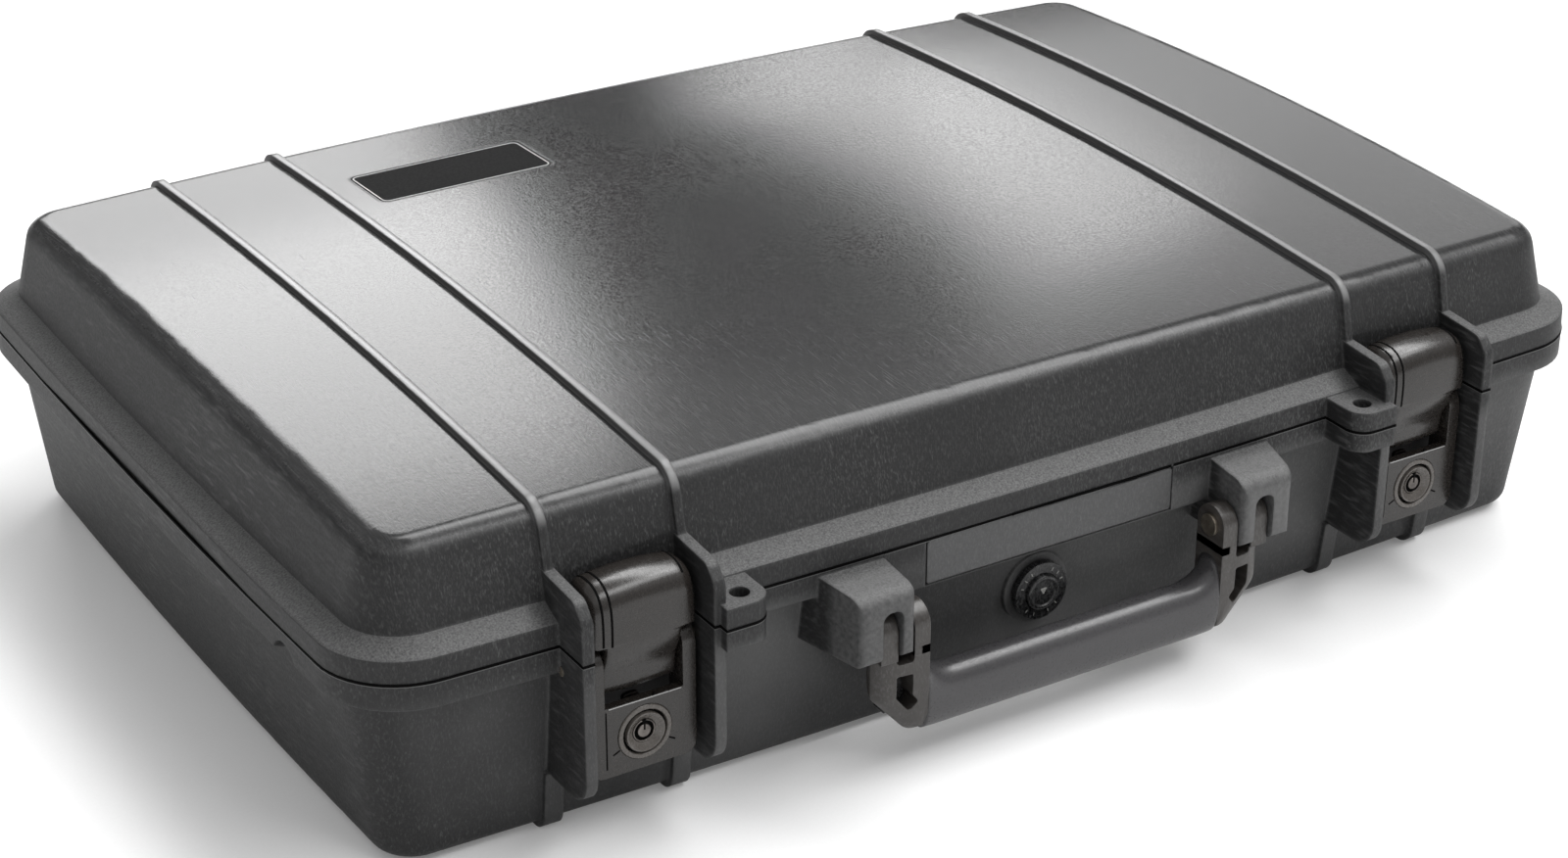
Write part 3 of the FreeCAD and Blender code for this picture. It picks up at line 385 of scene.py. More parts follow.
def dress_nodes():
    """Each carried-over CAD node takes the material of its slot."""
    for part in frame["record"]["subparts"]:
        thing = node(part["node"])
        material = MATERIALS[part["material_slot"]]
        thing.data.materials.clear()
        thing.data.materials.append(material)
        for polygon in thing.data.polygons:
            polygon.material_index = 0


dress_nodes()


def from_bmesh(name, bm, material, body, smooth=True):
    """Object made from a bmesh, which rides on a body."""
    mesh = bpy.data.meshes.new(name)
    bmesh.ops.recalc_face_normals(bm, faces=bm.faces)
    bm.to_mesh(mesh)
    bm.free()
    if smooth:
        mesh.shade_smooth()
    made = bpy.data.objects.new(name, mesh)
    bpy.context.scene.collection.objects.link(made)
    made.data.materials.append(material)
    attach(made, body)
    return made


ARC_STEPS = 5
LATHE_STEPS = 48
SHARP_ANGLE = 38.0
STRIP_LIFT = 0.06 * MM
STRIP_SINK = 0.3 * MM


def rounded_outline(corners):
    """Points of a closed outline through corners of (u, w, radius)."""
    points = []
    for index, (u, w, radius) in enumerate(corners):
        corner = Vector((u, w))
        if radius == 0:
            points.append(corner)
            continue
        before = Vector(corners[index - 1][:2]) - corner
        after = Vector(corners[(index + 1) % len(corners)][:2]) - corner
        half = before.angle(after) / 2
        reach = radius / math.tan(half)
        centre = corner + (before.normalized() + after.normalized()).normalized() * radius / math.sin(half)
        first = corner + before.normalized() * reach - centre
        sweep = first.angle_signed(corner + after.normalized() * reach - centre)
        for step in range(ARC_STEPS + 1):
            turned = first.copy()
            turned.rotate(Matrix.Rotation(-sweep * step / ARC_STEPS, 2))
            points.append(centre + turned)
    return [tuple(point) for point in points]


def plate_outline(centre, size, corner):
    """Rounded rectangle."""
    half_u, half_v = size[0] / 2, size[1] / 2
    return rounded_outline([(centre[0] + i * half_u, centre[1] + j * half_v, corner)
                            for i, j in ((-1, -1), (1, -1), (1, 1), (-1, 1))])


def skin_rings(bm, rings, closed=False):
    """Quads between rings of equally many points, capped at the ends or closed round."""
    made = [[bm.verts.new(point) for point in ring] for ring in rings]
    pairs = list(zip(made, made[1:]))
    if closed:
        pairs.append((made[-1], made[0]))
    for low, high in pairs:
        for k, vertex in enumerate(low):
            n = (k + 1) % len(low)
            bm.faces.new((vertex, low[n], high[n], high[k]))
    if not closed:
        bm.faces.new(list(reversed(made[0])))
        bm.faces.new(made[-1])


def add_prism(bm, outlines, place, low, high):
    """Solid between two parallel faces, bounded by an outline and any holes in it."""
    ends = []
    for depth in (low, high):
        loops, edges = [], []
        for outline in outlines:
            loop = [bm.verts.new(place(u, w, depth)) for u, w in outline]
            loops.append(loop)
            edges += [bm.edges.new(pair) for pair in zip(loop, loop[1:] + loop[:1])]
        bmesh.ops.triangle_fill(bm, edges=edges, use_beauty=True)
        ends.append(loops)
    for first, second in zip(*ends):
        for k, vertex in enumerate(first):
            n = (k + 1) % len(first)
            bm.faces.new((vertex, first[n], second[n], second[k]))


def soften(piece, width, segments=3):
    """Rounds the piece's sharp edges and keeps its flat faces flat."""
    bevel = piece.modifiers.new("edges", "BEVEL")
    bevel.width = width
    bevel.segments = segments
    bevel.limit_method = "ANGLE"
    bevel.angle_limit = math.radians(SHARP_ANGLE)
    normals = piece.modifiers.new("normals", "WEIGHTED_NORMAL")
    normals.keep_sharp = True
    return piece


def add_lathe(bm, profile, centre):
    """Turned form about an axis along -Y; the profile is (radius, distance out of the front) in mm."""
    rings = []
    for radius, out in profile:
        radius, out = radius * MM, out * MM
        ring = []
        for step in range(LATHE_STEPS):
            turn = 2 * math.pi * step / LATHE_STEPS
            ring.append((centre[0] + radius * math.cos(turn), centre[1] - out, centre[2] + radius * math.sin(turn)))
        rings.append(ring)
    skin_rings(bm, rings)


def add_strip(bm, points, across, outward, width):
    """Narrow raised line along points; across and outward are directions at each point."""
    rings = []
    for point, side, normal in zip(points, across, outward):
        centre, half = Vector(point), Vector(side).normalized() * width / 2
        rise, fall = Vector(normal).normalized() * STRIP_LIFT, Vector(normal).normalized() * STRIP_SINK
        rings.append([centre - half - fall, centre + half - fall, centre + half + rise, centre - half + rise])
    skin_rings(bm, rings)


def add_front_line(bm, start, end, front, width):
    """Line on a plane that faces -Y, from (x, z) to (x, z)."""
    along = Vector((end[0] - start[0], 0, end[1] - start[1]))
    across = along.cross(Vector((0, 1, 0)))
    points = [(start[0], front, start[1]), (end[0], front, end[1])]
    add_strip(bm, points, [across] * 2, [(0, -1, 0)] * 2, width)


def add_rays(bm, x, z, rays, front, width):
    """Short lines away from (x, z), from rays of (angle, near end, far end) in degrees and mm."""
    for turn, near, far in rays:
        angle = math.radians(turn)
        start = (x + near * MM * math.cos(angle), z + near * MM * math.sin(angle))
        end = (x + far * MM * math.cos(angle), z + far * MM * math.sin(angle))
        add_front_line(bm, start, end, front, width)


def crown_height(x, y):
    """Height of the lid's crowned top."""
    front, side = (y - MIDDLE_Y) / HALF_DEPTH, x / HALF_LENGTH
    return CROWN_TOP - CROWN_FRONT_DROP * front ** 2 - CROWN_SIDE_DROP * side ** 2


def make_label():
    """Bare black plate in the lid's label seat, with a thin pale rim as a painted highlight."""
    centre, size, corner = (-87 * MM, 96 * MM + MIDDLE_Y), (69.2 * MM, 30.2 * MM), 2.8 * MM
    seat, thick, edge = -0.8 * MM, 0.7 * MM, 0.2 * MM
    rim_outer, rim_inner, rim_foot, rim_top = 0.25 * MM, 0.75 * MM, thick - 0.1 * MM, thick + 0.06 * MM

    def ring(inset, lift):
        outline = plate_outline(centre, (size[0] - 2 * inset, size[1] - 2 * inset), corner - inset)
        return [(x, y, crown_height(x, y) + seat + lift) for x, y in outline]

    bm = bmesh.new()
    skin_rings(bm, [ring(0, 0.02 * MM), ring(0, thick - edge), ring(edge, thick)])
    from_bmesh("label_plate", bm, LABEL, "lid", smooth=False)
    bm = bmesh.new()
    skin_rings(bm, [ring(rim_outer, rim_foot), ring(rim_outer, rim_top), ring(rim_inner, rim_top),
                    ring(rim_inner, rim_foot)], closed=True)
    from_bmesh("label_rim", bm, LIT_EDGE, "lid", smooth=False)


def outer_loop(name, height):
    """Longest outline of a packed shell at one height."""
    bm = bmesh.new()
    bm.from_mesh(node(name).data)
    bmesh.ops.remove_doubles(bm, verts=bm.verts, dist=1e-6)
    cut = bmesh.ops.bisect_plane(bm, geom=bm.verts[:] + bm.edges[:] + bm.faces[:], dist=1e-7,
                                 plane_co=(0, 0, height), plane_no=(0, 0, 1))
    links = {}
    for edge in cut["geom_cut"]:
        if isinstance(edge, bmesh.types.BMEdge):
            a, b = edge.verts
            links.setdefault(a, []).append(b)
            links.setdefault(b, []).append(a)
    loops = []
    while links:
        start = next(iter(links))
        loop, at = [start], start
        while True:
            following = [v for v in links.pop(at) if v in links]
            if not following:
                break
            at = following[0]
            loop.append(at)
        loops.append([v.co.xy.copy() for v in loop])
    bm.free()
    return max(loops, key=lambda loop: sum((a - b).length for a, b in zip(loop, loop[1:])))


SEAM_CUT = 0.3 * MM  # the outline is taken this far under the parting plane
SEAM_SINK = 0.5 * MM
SAME_POINT = 0.05 * MM


def make_seam(name, material, loop, low, high, proud):
    """Thin line that follows an outline all round the case."""
    area = sum(a.x * b.y - a.y * b.x for a, b in zip(loop, loop[1:] + loop[:1]))
    loop = loop if area > 0 else loop[::-1]
    kept = [p for p, q in zip(loop, loop[-1:] + loop[:-1]) if (p - q).length > SAME_POINT]
    rings = []
    for index, point in enumerate(kept):
        along = (kept[(index + 1) % len(kept)] - kept[index - 1]).normalized()
        out = Vector((along.y, -along.x))
        inner, outer = point - out * SEAM_SINK, point + out * proud
        rings.append([(*inner, low), (*outer, low), (*outer, high), (*inner, high)])
    bm = bmesh.new()
    skin_rings(bm, rings, closed=True)
    from_bmesh(name, bm, material, "base", smooth=False)


def make_seams():
    """Painted shadow in the gap between base and lid, and a painted highlight along the base's edge under it."""
    loop = outer_loop("base_shell", PARTING - SEAM_CUT)
    # Painted shadow: a near-black strip in the gap
    make_seam("parting_shadow", GROOVE_SHADOW, loop, PARTING - 0.4 * MM, PARTING + 0.5 * MM, 0.2 * MM)
    # Painted highlight: a light line along the base's edge under the gap
    make_seam("parting_highlight", SEAM_HIGHLIGHT, loop, PARTING - 0.75 * MM, PARTING - 0.45 * MM, 0.12 * MM)


# The hook's line from its eye over the front to its nose: (behind the front, height, half width,
# depth of the side walls, corner radius), in mm
HOOK_LINE = (
    (13.0, 58.2, 10.4, 2.2, 0.8), (12.7, 56.0, 10.6, 2.2, 0.8), (11.4, 54.7, 11.0, 2.2, 0.8),
    (9.8, 54.3, 12.2, 2.2, 0.9), (7.8, 54.8, 13.1, 2.3, 1.0), (6.4, 56.0, 13.3, 2.4, 1.2),
    (5.6, 58.2, 13.3, 2.6, 1.5), (5.3, 61.2, 13.4, 2.8, 1.8), (4.8, 64.6, 13.5, 3.0, 2.0),
    (2.5, 68.4, 13.5, 3.6, 2.0), (1.1, 73.0, 13.5, 4.4, 2.0), (0.9, 74.4, 13.9, 4.4, 2.0),
    (0.88, 74.9, 15.2, 4.4, 2.0), (0.86, 75.1, 17.6, 4.4, 2.0), (0.84, 75.6, 18.3, 4.4, 2.2),
    (0.8, 76.6, 18.5, 4.6, 2.6), (0.7, 80.0, 18.5, 5.0, 3.2), (0.75, 84.0, 18.5, 5.2, 3.8),
    (1.1, 87.4, 18.5, 5.2, 4.2), (2.0, 90.0, 18.4, 5.2, 4.6), (3.4, 92.2, 18.4, 5.2, 4.8),
    (5.4, 93.8, 18.3, 5.2, 5.0), (8.0, 94.7, 18.2, 5.0, 5.0), (11.0, 94.9, 18.1, 4.6, 5.0),
    (14.0, 94.6, 17.9, 4.2, 4.6), (16.4, 93.7, 17.6, 3.4, 4.0), (17.8, 92.0, 17.2, 2.6, 3.0),
    (18.3, 90.2, 16.8, 2.2, 2.0), (18.4, 88.8, 16.4, 2.1, 1.6),
)
HOOK_PLATE = 1.9 * MM
HOOK_HEAD = 18  # the last station before the head, which swells more than the shank
HEAD_SWELL, SHANK_SWELL = 0.9, 0.5  # in mm
CORNER_FLATNESS = 0.75  # depth of the rounding between front and side walls over its width
HOOK_GROOVES = ((-14.6, 14, 26), (-11.6, 12, 26), (14.9, 20, 26))  # place across in mm, first and last station
GROOVE_WIDTH = 0.75 * MM


def hook_stations(front):
    """Places along the hook's line with the direction out of its surface."""
    places = [Vector((0, front + d * MM, z * MM)) for d, z, _, _, _ in HOOK_LINE]
    stations = []
    for index, place in enumerate(places):
        along = places[min(index + 1, len(places) - 1)] - places[max(index - 1, 0)]
        out = Vector((0, -along.z, along.y)).normalized()
        stations.append((place, out))
    return stations


def hook_bulge(share, index):
    """How far the surface swells between the side walls, most on the head."""
    amount = HEAD_SWELL if index > HOOK_HEAD else SHANK_SWELL
    return amount * MM * (1 - share ** 2)


def make_hook(side):
    """Curled hook: a channel-shaped plate with an eye, a tongue and a crowned head."""
    low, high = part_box("latch_hook_" + side)
    middle = (low.x + high.x) / 2
    stations = hook_stations(low.y)
    rings = []
    for index, ((place, out), (_, _, half, depth, corner)) in enumerate(zip(stations, HOOK_LINE)):
        half, depth, corner = half * MM, depth * MM, corner * MM
        section = [(-half, max(depth, corner))]
        for turn in (10, 30, 50, 70, 90):
            angle = math.radians(turn)
            section.append((-half + corner * (1 - math.cos(angle)),
                            corner * CORNER_FLATNESS * (1 - math.sin(angle))))
        section += [(share * (half - corner), -hook_bulge(share, index)) for share in (-0.66, -0.33, 0)]
        section += [(-x, inward) for x, inward in reversed(section[:-1])]
        wall = half - HOOK_PLATE
        section += [(wall, max(depth, corner)), (wall, HOOK_PLATE), (wall / 2, HOOK_PLATE),
                    (-wall / 2, HOOK_PLATE), (-wall, HOOK_PLATE), (-wall, max(depth, corner))]
        rings.append([(middle + x, *(place - out * inward).yz) for x, inward in section])
    bm = bmesh.new()
    skin_rings(bm, rings)
    piece = from_bmesh("hook_" + side + "_curl", bm, MATERIALS["latch_plastic"], "hook_" + side)
    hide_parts("latch_hook_" + side)
    # Painted shade: thin near-black strips along the hook's grooves
    bm = bmesh.new()
    for x, first, last in HOOK_GROOVES:
        span = stations[first:last]
        points = []
        for index, (place, out) in enumerate(span, first):
            half, corner = HOOK_LINE[index][2], HOOK_LINE[index][4]
            reach = abs(x) - (half - corner)
            inward = 0
            if reach > 0:
                inward = corner * CORNER_FLATNESS * (1 - math.sqrt(max(0, 1 - (reach / corner) ** 2)))
            swell = hook_bulge(min(1, abs(x) / (half - corner)), index)
            points.append((middle + x * MM, *(place - out * (inward * MM - swell)).yz))
        add_strip(bm, points, [(1, 0, 0)] * len(points), [out for _, out in span], GROOVE_WIDTH)
    from_bmesh("hook_" + side + "_grooves", bm, GROOVE_SHADOW, "hook_" + side, smooth=False)


PLATE_TOP = 52.4 * MM
LOCK_TICKS = ((205, 9.9, 12.6), (330, 9.9, 12.4), (75, 12.4, 13.6))  # angle, near and far end in degrees and mm


def make_lever_lines(side):
    """Seam, ticks round the lock, and lit edge on the lever's plate."""
    low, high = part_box("latch_lever_" + side)
    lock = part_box("lock_bezel_" + side)
    middle, front = (low.x + high.x) / 2, low.y
    height = (lock[0].z + lock[1].z) / 2
    bm = bmesh.new()
    seam_x = middle - 13.6 * MM
    add_front_line(bm, (seam_x, PLATE_TOP - 1.2 * MM), (seam_x, low.z + 3 * MM), front, 0.5 * MM)
    add_rays(bm, middle, height, LOCK_TICKS, front, 0.55 * MM)
    from_bmesh("lever_" + side + "_lines", bm, GROOVE_SHADOW, "lever_" + side, smooth=False)
    bm = bmesh.new()
    edge_z = PLATE_TOP - 0.3 * MM
    add_front_line(bm, (middle - 12.6 * MM, edge_z), (middle + 13.2 * MM, edge_z), front, 0.35 * MM)
    from_bmesh("lever_" + side + "_lit_edge", bm, LIT_EDGE, "lever_" + side, smooth=False)


# Turned profiles of (radius, distance out of the lever's front), in mm
BEZEL_PROFILE = ((6.5, -8.4), (6.5, -0.9), (9.55, -0.9), (9.55, 0.15), (9.3, 0.4), (8.1, 0.5), (7.8, 0.2),
                 (7.6, -1.2), (6.95, -1.2), (6.9, 0.5), (6.8, 0.9), (6.3, 0.8), (4.5, -0.5), (4.1, -0.6), (4.1, -8.4))
CORE_PROFILE = ((3.95, -8.3), (3.95, -0.5), (3.8, -0.35), (3.6, -0.35), (3.45, -0.5), (3.45, -2.6), (2.35, -2.6),
                (2.35, -0.4), (2.1, -0.2), (0.01, -0.2))
WELL_PROFILE = ((3.4, -2.8), (3.4, -1.2), (2.4, -1.2), (2.4, -2.8))
GAP_PROFILE = ((7.75, -1.3), (7.75, -0.5), (6.85, -0.5), (6.85, -1.3))


def make_lock(side):
    """Tubular key lock: a stepped ring, a dished collar, and a core with a ring-shaped keyway."""
    low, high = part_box("lock_bezel_" + side)
    centre = ((low.x + high.x) / 2, low.y, (low.z + high.z) / 2)
    bm = bmesh.new()
    add_lathe(bm, BEZEL_PROFILE, centre)
    bezel = soften(from_bmesh("lock_" + side + "_bezel", bm, MATERIALS["lock_bezel"], "lever_" + side), 0.1 * MM, 2)
    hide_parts("lock_bezel_" + side)
    bm = bmesh.new()
    add_lathe(bm, CORE_PROFILE, centre)
    core = soften(from_bmesh("lock_" + side + "_core", bm, MATERIALS["lock_metal"], "key_" + side), 0.08 * MM, 2)
    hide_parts("lock_core_" + side)
    # Painted shade: a near-black ring down in the core's keyway
    bm = bmesh.new()
    add_lathe(bm, WELL_PROFILE, centre)
    from_bmesh("lock_" + side + "_well", bm, GROOVE_SHADOW, "key_" + side, smooth=False)
    # Painted shade: near-black strips in the keyway's slot above the core's middle
    bm = bmesh.new()
    x, face, z = centre[0], centre[1] + 0.4 * MM, centre[2]
    add_front_line(bm, (x, z + 2.7 * MM), (x, z + 4.1 * MM), face - 0.15 * MM, 1.3 * MM)
    add_front_line(bm, (x, z + 0.4 * MM), (x, z + 2.3 * MM), face - 0.2 * MM, 0.6 * MM)
    from_bmesh("lock_" + side + "_keyway", bm, GROOVE_SHADOW, "key_" + side, smooth=False)
    # Painted shade: a near-black ring in the gap between the stepped ring and the collar
    bm = bmesh.new()
    add_lathe(bm, GAP_PROFILE, centre)
    from_bmesh("lock_" + side + "_gap", bm, GROOVE_SHADOW, "lever_" + side, smooth=False)


POINTER_ROWS = ((2.4, 1.4), (1.6, 0.7), (0.8, 0.0))  # width and height over the cap's middle, in mm
MARK_TURNS = (20, 40, 60, 120, 140, 160, 225, 250, 290, 315)
MARK_NEAR, MARK_FAR = 7.9, 9.1


def make_valve():
    """Valve cap with a raised rim and pointer, and small marks round the flange."""
    low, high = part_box("valve_knob")
    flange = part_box("valve_body")[0].y
    centre = (0, high.y, (low.z + high.z) / 2)
    deep = (high.y - low.y) / MM
    profile = ((6.5, 0.1), (6.5, deep - 0.8), (6.2, deep - 0.2), (5.6, deep), (5.0, deep), (4.7, deep - 0.5),
               (0.01, deep - 0.5))
    bm = bmesh.new()
    add_lathe(bm, profile, centre)
    knob = soften(from_bmesh("valve_cap_disc", bm, MATERIALS["black_plastic"], "valve_cap"), 0.15 * MM, 2)
    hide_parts("valve_knob")
    x, z = centre[0], centre[2]
    face = low.y + 0.5 * MM
    bm = bmesh.new()
    for width, height in POINTER_ROWS:
        add_front_line(bm, (x - width / 2 * MM, z + height * MM), (x + width / 2 * MM, z + height * MM), face, 0.8 * MM)
    from_bmesh("valve_pointer", bm, MARK, "valve_cap", smooth=False)
    bm = bmesh.new()
    add_rays(bm, x, z, [(turn, MARK_NEAR, MARK_FAR) for turn in MARK_TURNS], flange, 0.35 * MM)
    from_bmesh("valve_marks", bm, MARK, "base", smooth=False)


# The handle's sizes in mm: corners are (across from the middle, height, radius), and each prong of the
# fork at an end lies between two places across
GRIP_END = 60.1
PRONGS = ((60.1, 66.1), (72.5, 79.0))
PRONG_FOOT = 45
ELBOW = ((60.1, 13.2, 0), (64.5, 13.2, 8), (79.0, 29.5, 9), (79.0, 48.0, 0), (72.5, 48.0, 0), (72.5, 42.9, 1.4),
         (66.1, 42.9, 1.4), (66.1, 48.0, 0), (60.1, 48.0, 0))
ELBOW_POCKET = ((66.4, 38.6, 0.8), (66.4, 30.6, 1.0), (64.2, 27.6, 1.0), (67.2, 24.0, 1.2), (72.4, 30.4, 1.6),
                (72.4, 38.6, 0.8))
ELBOW_BACK = ((65.5, 22), (73.2, 22), (73.2, 39.5), (65.5, 39.5))
ELBOW_ROUNDING = 14.8 * MM
ELBOW_POWER, ELBOW_ROOT = 2.44, 0.41  # of the superellipse that rounds the elbows
ELBOW_THINNEST = 0.12
SLEEVE_POWER = 0.82  # of the sleeve's oval section


def elbow_outline(corners, sign):
    """Outline across and up from corners in mm, on the side given by the sign."""
    return rounded_outline([(sign * u * MM, w * MM, radius * MM) for u, w, radius in corners])


def to_segment(place, a, b):
    """Distance from a place to the straight line between two others."""
    share = (place - a).dot(b - a) / max(1e-12, (b - a).length_squared)
    return (place - a - (b - a) * min(1.0, max(0.0, share))).length


def make_handle():
    """Forked frame with hollow elbows, and the soft sleeve between them."""
    low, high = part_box("handle_frame")
    axis_y, axis_z, half = (low.y + high.y) / 2, high.z - (high.y - low.y) / 2, (high.y - low.y) / 2
    bm = bmesh.new()
    for sign in (-1, 1):
        outlines = [elbow_outline(ELBOW, sign), elbow_outline(ELBOW_POCKET, sign)]
        add_prism(bm, outlines, lambda u, w, depth: (u, depth, w), low.y, high.y)
    bmesh.ops.subdivide_edges(bm, edges=bm.edges, cuts=3, use_grid_fill=True)
    outer_line = [Vector(point) for point in elbow_outline(ELBOW[:4], 1)]
    for vertex in bm.verts:
        place = Vector((abs(vertex.co.x), vertex.co.z))
        away = min(to_segment(place, a, b) for a, b in zip(outer_line, outer_line[1:]))
        near = max(0.0, 1 - away / ELBOW_ROUNDING)
        thickness = max(ELBOW_THINNEST, (1 - near ** ELBOW_POWER) ** ELBOW_ROOT)
        vertex.co.y = axis_y + (vertex.co.y - axis_y) * thickness
    for sign in (-1, 1):
        for near, far in PRONGS:
            prong = [(half * math.cos(math.radians(a)), axis_z + half * math.sin(math.radians(a)))
                     for a in range(0, 181, 12)] + [(-half, PRONG_FOOT * MM), (half, PRONG_FOOT * MM)]
            add_prism(bm, [prong], lambda u, w, depth: (depth, axis_y + u, w), sign * near * MM, sign * far * MM)
    frame_piece = soften(from_bmesh("handle_forks", bm, MATERIALS["handle_plastic"], "handle"), 1.1 * MM)
    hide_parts("handle_frame")
    bm = bmesh.new()
    for sign in (-1, 1):
        back = [(sign * u * MM, w * MM) for u, w in ELBOW_BACK]
        add_prism(bm, [back], lambda u, w, depth: (u, depth, w), low.y + 7 * MM, high.y - 1.5 * MM)
    from_bmesh("handle_elbow_backs", bm, MATERIALS["black_plastic"], "handle", smooth=False)
    make_sleeve(axis_y, half)


def make_sleeve(axis_y, half):
    """Oval sleeve over the handle's bar, which flares up into the elbows and has closer rings near its ends."""
    bottom, rise, throat, flare = 13.2 * MM, 33.8 * MM, 13 * MM, 9.0 * MM
    steps = 36
    rings = []
    for step in range(-steps, steps + 1):
        share = step / steps
        x = GRIP_END * MM * (1.25 * share - 0.25 * share ** 3)
        over = max(0, abs(x) - (GRIP_END * MM - throat)) / throat
        top = rise + flare * (1 - math.sqrt(max(0, 1 - over ** 2)))
        mid, tall = (bottom + top) / 2, (top - bottom) / 2
        deep = half * (0.97 + 0.03 * over)
        ring = []
        for turn in range(0, 360, 10):
            c, s = math.cos(math.radians(turn)), math.sin(math.radians(turn))
            y = math.copysign(abs(c) ** SLEEVE_POWER, c) * deep
            z = math.copysign(abs(s) ** SLEEVE_POWER, s) * tall
            ring.append((x, axis_y + y, mid + z))
        rings.append(ring)
    bm = bmesh.new()
    skin_rings(bm, rings)
    grip = from_bmesh("handle_sleeve", bm, MATERIALS["grip_rubber"], "handle")
    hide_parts("handle_grip")


FOAM_ROUNDING = 9 * MM
FACE_ROUNDING = 0.2  # how much of the rounding the convoluted face takes
CELLS_PER_PITCH = 5
EDGE_FADE = 0.6  # width of the flat edge round the convolutions, over their pitch
POCKET_CORNER = 16


def egg_crate(x, y, pitch, height):
    """Height of convoluted foam between 0 and the given height."""
    return height * (0.5 + 0.25 * (math.cos(math.tau * x / pitch) + math.cos(math.tau * y / pitch)))


def in_case(x, y, half, corner):
    """Draws a place on a rectangle in to the case's plan, with its bowed sides and rounded corners."""
    over = Vector((max(0, abs(x) - half[0] + corner), max(0, abs(y) - half[1] + corner)))
    if over.x > 0 and over.y > 0:
        drawn = over * max(over) / over.length
        x = math.copysign(half[0] - corner + drawn.x, x)
        y = math.copysign(half[1] - corner + drawn.y, y)
    u, v = x / half[0], y / half[1]
    return x - SIDE_BOW * u * v ** 2, y - FRONT_BOW * v * u ** 2


def make_foam_slab(name, box, corner, pitch, height, facing, body, replaced):
    """Foam block whose face up (1) or down (-1) is convoluted. A block that faces down hangs in the lid, and its
    back follows the crown."""
    low, high = box
    middle = (low.y + high.y) / 2
    half = ((high.x - low.x) / 2, (high.y - low.y) / 2)
    back, face = (high.z, low.z) if facing < 0 else (low.z, high.z)
    count = [int(2 * side / pitch * CELLS_PER_PITCH) for side in half]
    bm = bmesh.new()
    grids = []
    for is_back in (True, False):
        grid = []
        for i in range(count[0] + 1):
            row = []
            for j in range(count[1] + 1):
                u, v = 2 * i / count[0] - 1, 2 * j / count[1] - 1
                edge = min(half[0] * (1 - abs(u)), half[1] * (1 - abs(v)))
                x, y = in_case(u * half[0], v * half[1], half, corner)
                y += middle
                turned = max(0, 1 - edge / FOAM_ROUNDING)
                rounding = FOAM_ROUNDING * (1 - math.sqrt(max(0, 1 - turned ** 2)))
                if not is_back:
                    z = face - facing * egg_crate(x, y, pitch, height) * min(1, edge / (EDGE_FADE * pitch))
                    z -= facing * FACE_ROUNDING * rounding
                elif facing < 0:
                    z = min(back, crown_height(x, y) - LID_WALL - rounding)
                else:
                    z = back
                row.append(bm.verts.new((x, y, z)))
            grid.append(row)
        for i in range(count[0]):
            for j in range(count[1]):
                bm.faces.new((grid[i][j], grid[i + 1][j], grid[i + 1][j + 1], grid[i][j + 1]))
        grids.append(grid)
    rims = [[row[0] for row in grid] + grid[-1][1:] + [row[-1] for row in grid[-2::-1]] + grid[0][-2:0:-1]
            for grid in grids]
    for k, vertex in enumerate(rims[0]):
        n = (k + 1) % len(rims[0])
        bm.faces.new((vertex, rims[0][n], rims[1][n], rims[1][k]))
    piece = from_bmesh(name, bm, MATERIALS["foam"], body)
    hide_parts(replaced)


def make_base_foam():
    """Foam tray: soft-lipped walls round the laptop's pocket and a floor under it."""
    low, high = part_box("base_foam")
    centre_y = (low.y + high.y) / 2
    pocket, floor = (384 * MM, 256 * MM), 30 * MM
    foot, rim = (465 * MM, 299.6 * MM), (469 * MM, 303.6 * MM)
    # Outline, corner radius in mm, height, and growth of the outline in mm
    stages = (
        (foot, 8, low.z + 1 * MM, -8),
        (foot, 9, low.z + 4 * MM, 0),
        (rim, 10, high.z - 4 * MM, 0),
        (rim, 10, high.z - 1.2 * MM, -1),
        (rim, 10, high.z, -4),
        (pocket, POCKET_CORNER, high.z, 8),
        (pocket, POCKET_CORNER, high.z - 1.2 * MM, 2),
        (pocket, POCKET_CORNER, high.z - 4 * MM, 0),
        (pocket, POCKET_CORNER, floor + 3 * MM, 0),
        (pocket, POCKET_CORNER, floor, -3),
    )
    rings = []
    for size, corner, z, grow in stages:
        grown = (size[0] + grow * MM, size[1] + grow * MM)
        half = (grown[0] / 2, grown[1] / 2)
        outline = plate_outline((0, 0), grown, corner * MM)
        if size is not pocket:
            outline = [in_case(x, y, half, 0) for x, y in outline]
        rings.append([(x, centre_y + y, z) for x, y in outline])
    bm = bmesh.new()
    skin_rings(bm, rings)
    bmesh.ops.subdivide_edges(bm, edges=bm.edges, cuts=3, use_grid_fill=False)
    # A dent in the front wall leaves room for the valve's nut
    valve_z, reach, slope, dent = 38.9 * MM, 24 * MM, 8 * MM, 7 * MM
    for vertex in bm.verts:
        near = math.hypot(vertex.co.x, vertex.co.z - valve_z)
        if vertex.co.y < centre_y - 140 * MM and near < reach:
            vertex.co.y += dent * min(1, (reach - near) / slope)
    piece = from_bmesh("base_foam_tray", bm, MATERIALS["foam"], "base")
    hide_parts("base_foam")


def make_foams():
    make_base_foam()
    make_foam_slab("base_pad_crate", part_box("base_pad"), corner=15 * MM, pitch=26 * MM, height=3.5 * MM,
                   facing=1, body="base", replaced="base_pad")
    make_foam_slab("lid_foam_crate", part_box("lid_foam"), corner=10 * MM, pitch=34 * MM, height=14 * MM,
                   facing=-1, body="lid", replaced="lid_foam")


make_label()
make_seams()
for side in SIDES:
    make_hook(side)
    make_lever_lines(side)
    make_lock(side)
make_valve()
make_handle()
make_foams()


FLOOR_REACH = 40.0
FLOOR_GLOW = 0.12  # seen only directly or in reflections, so that the floor stays pale


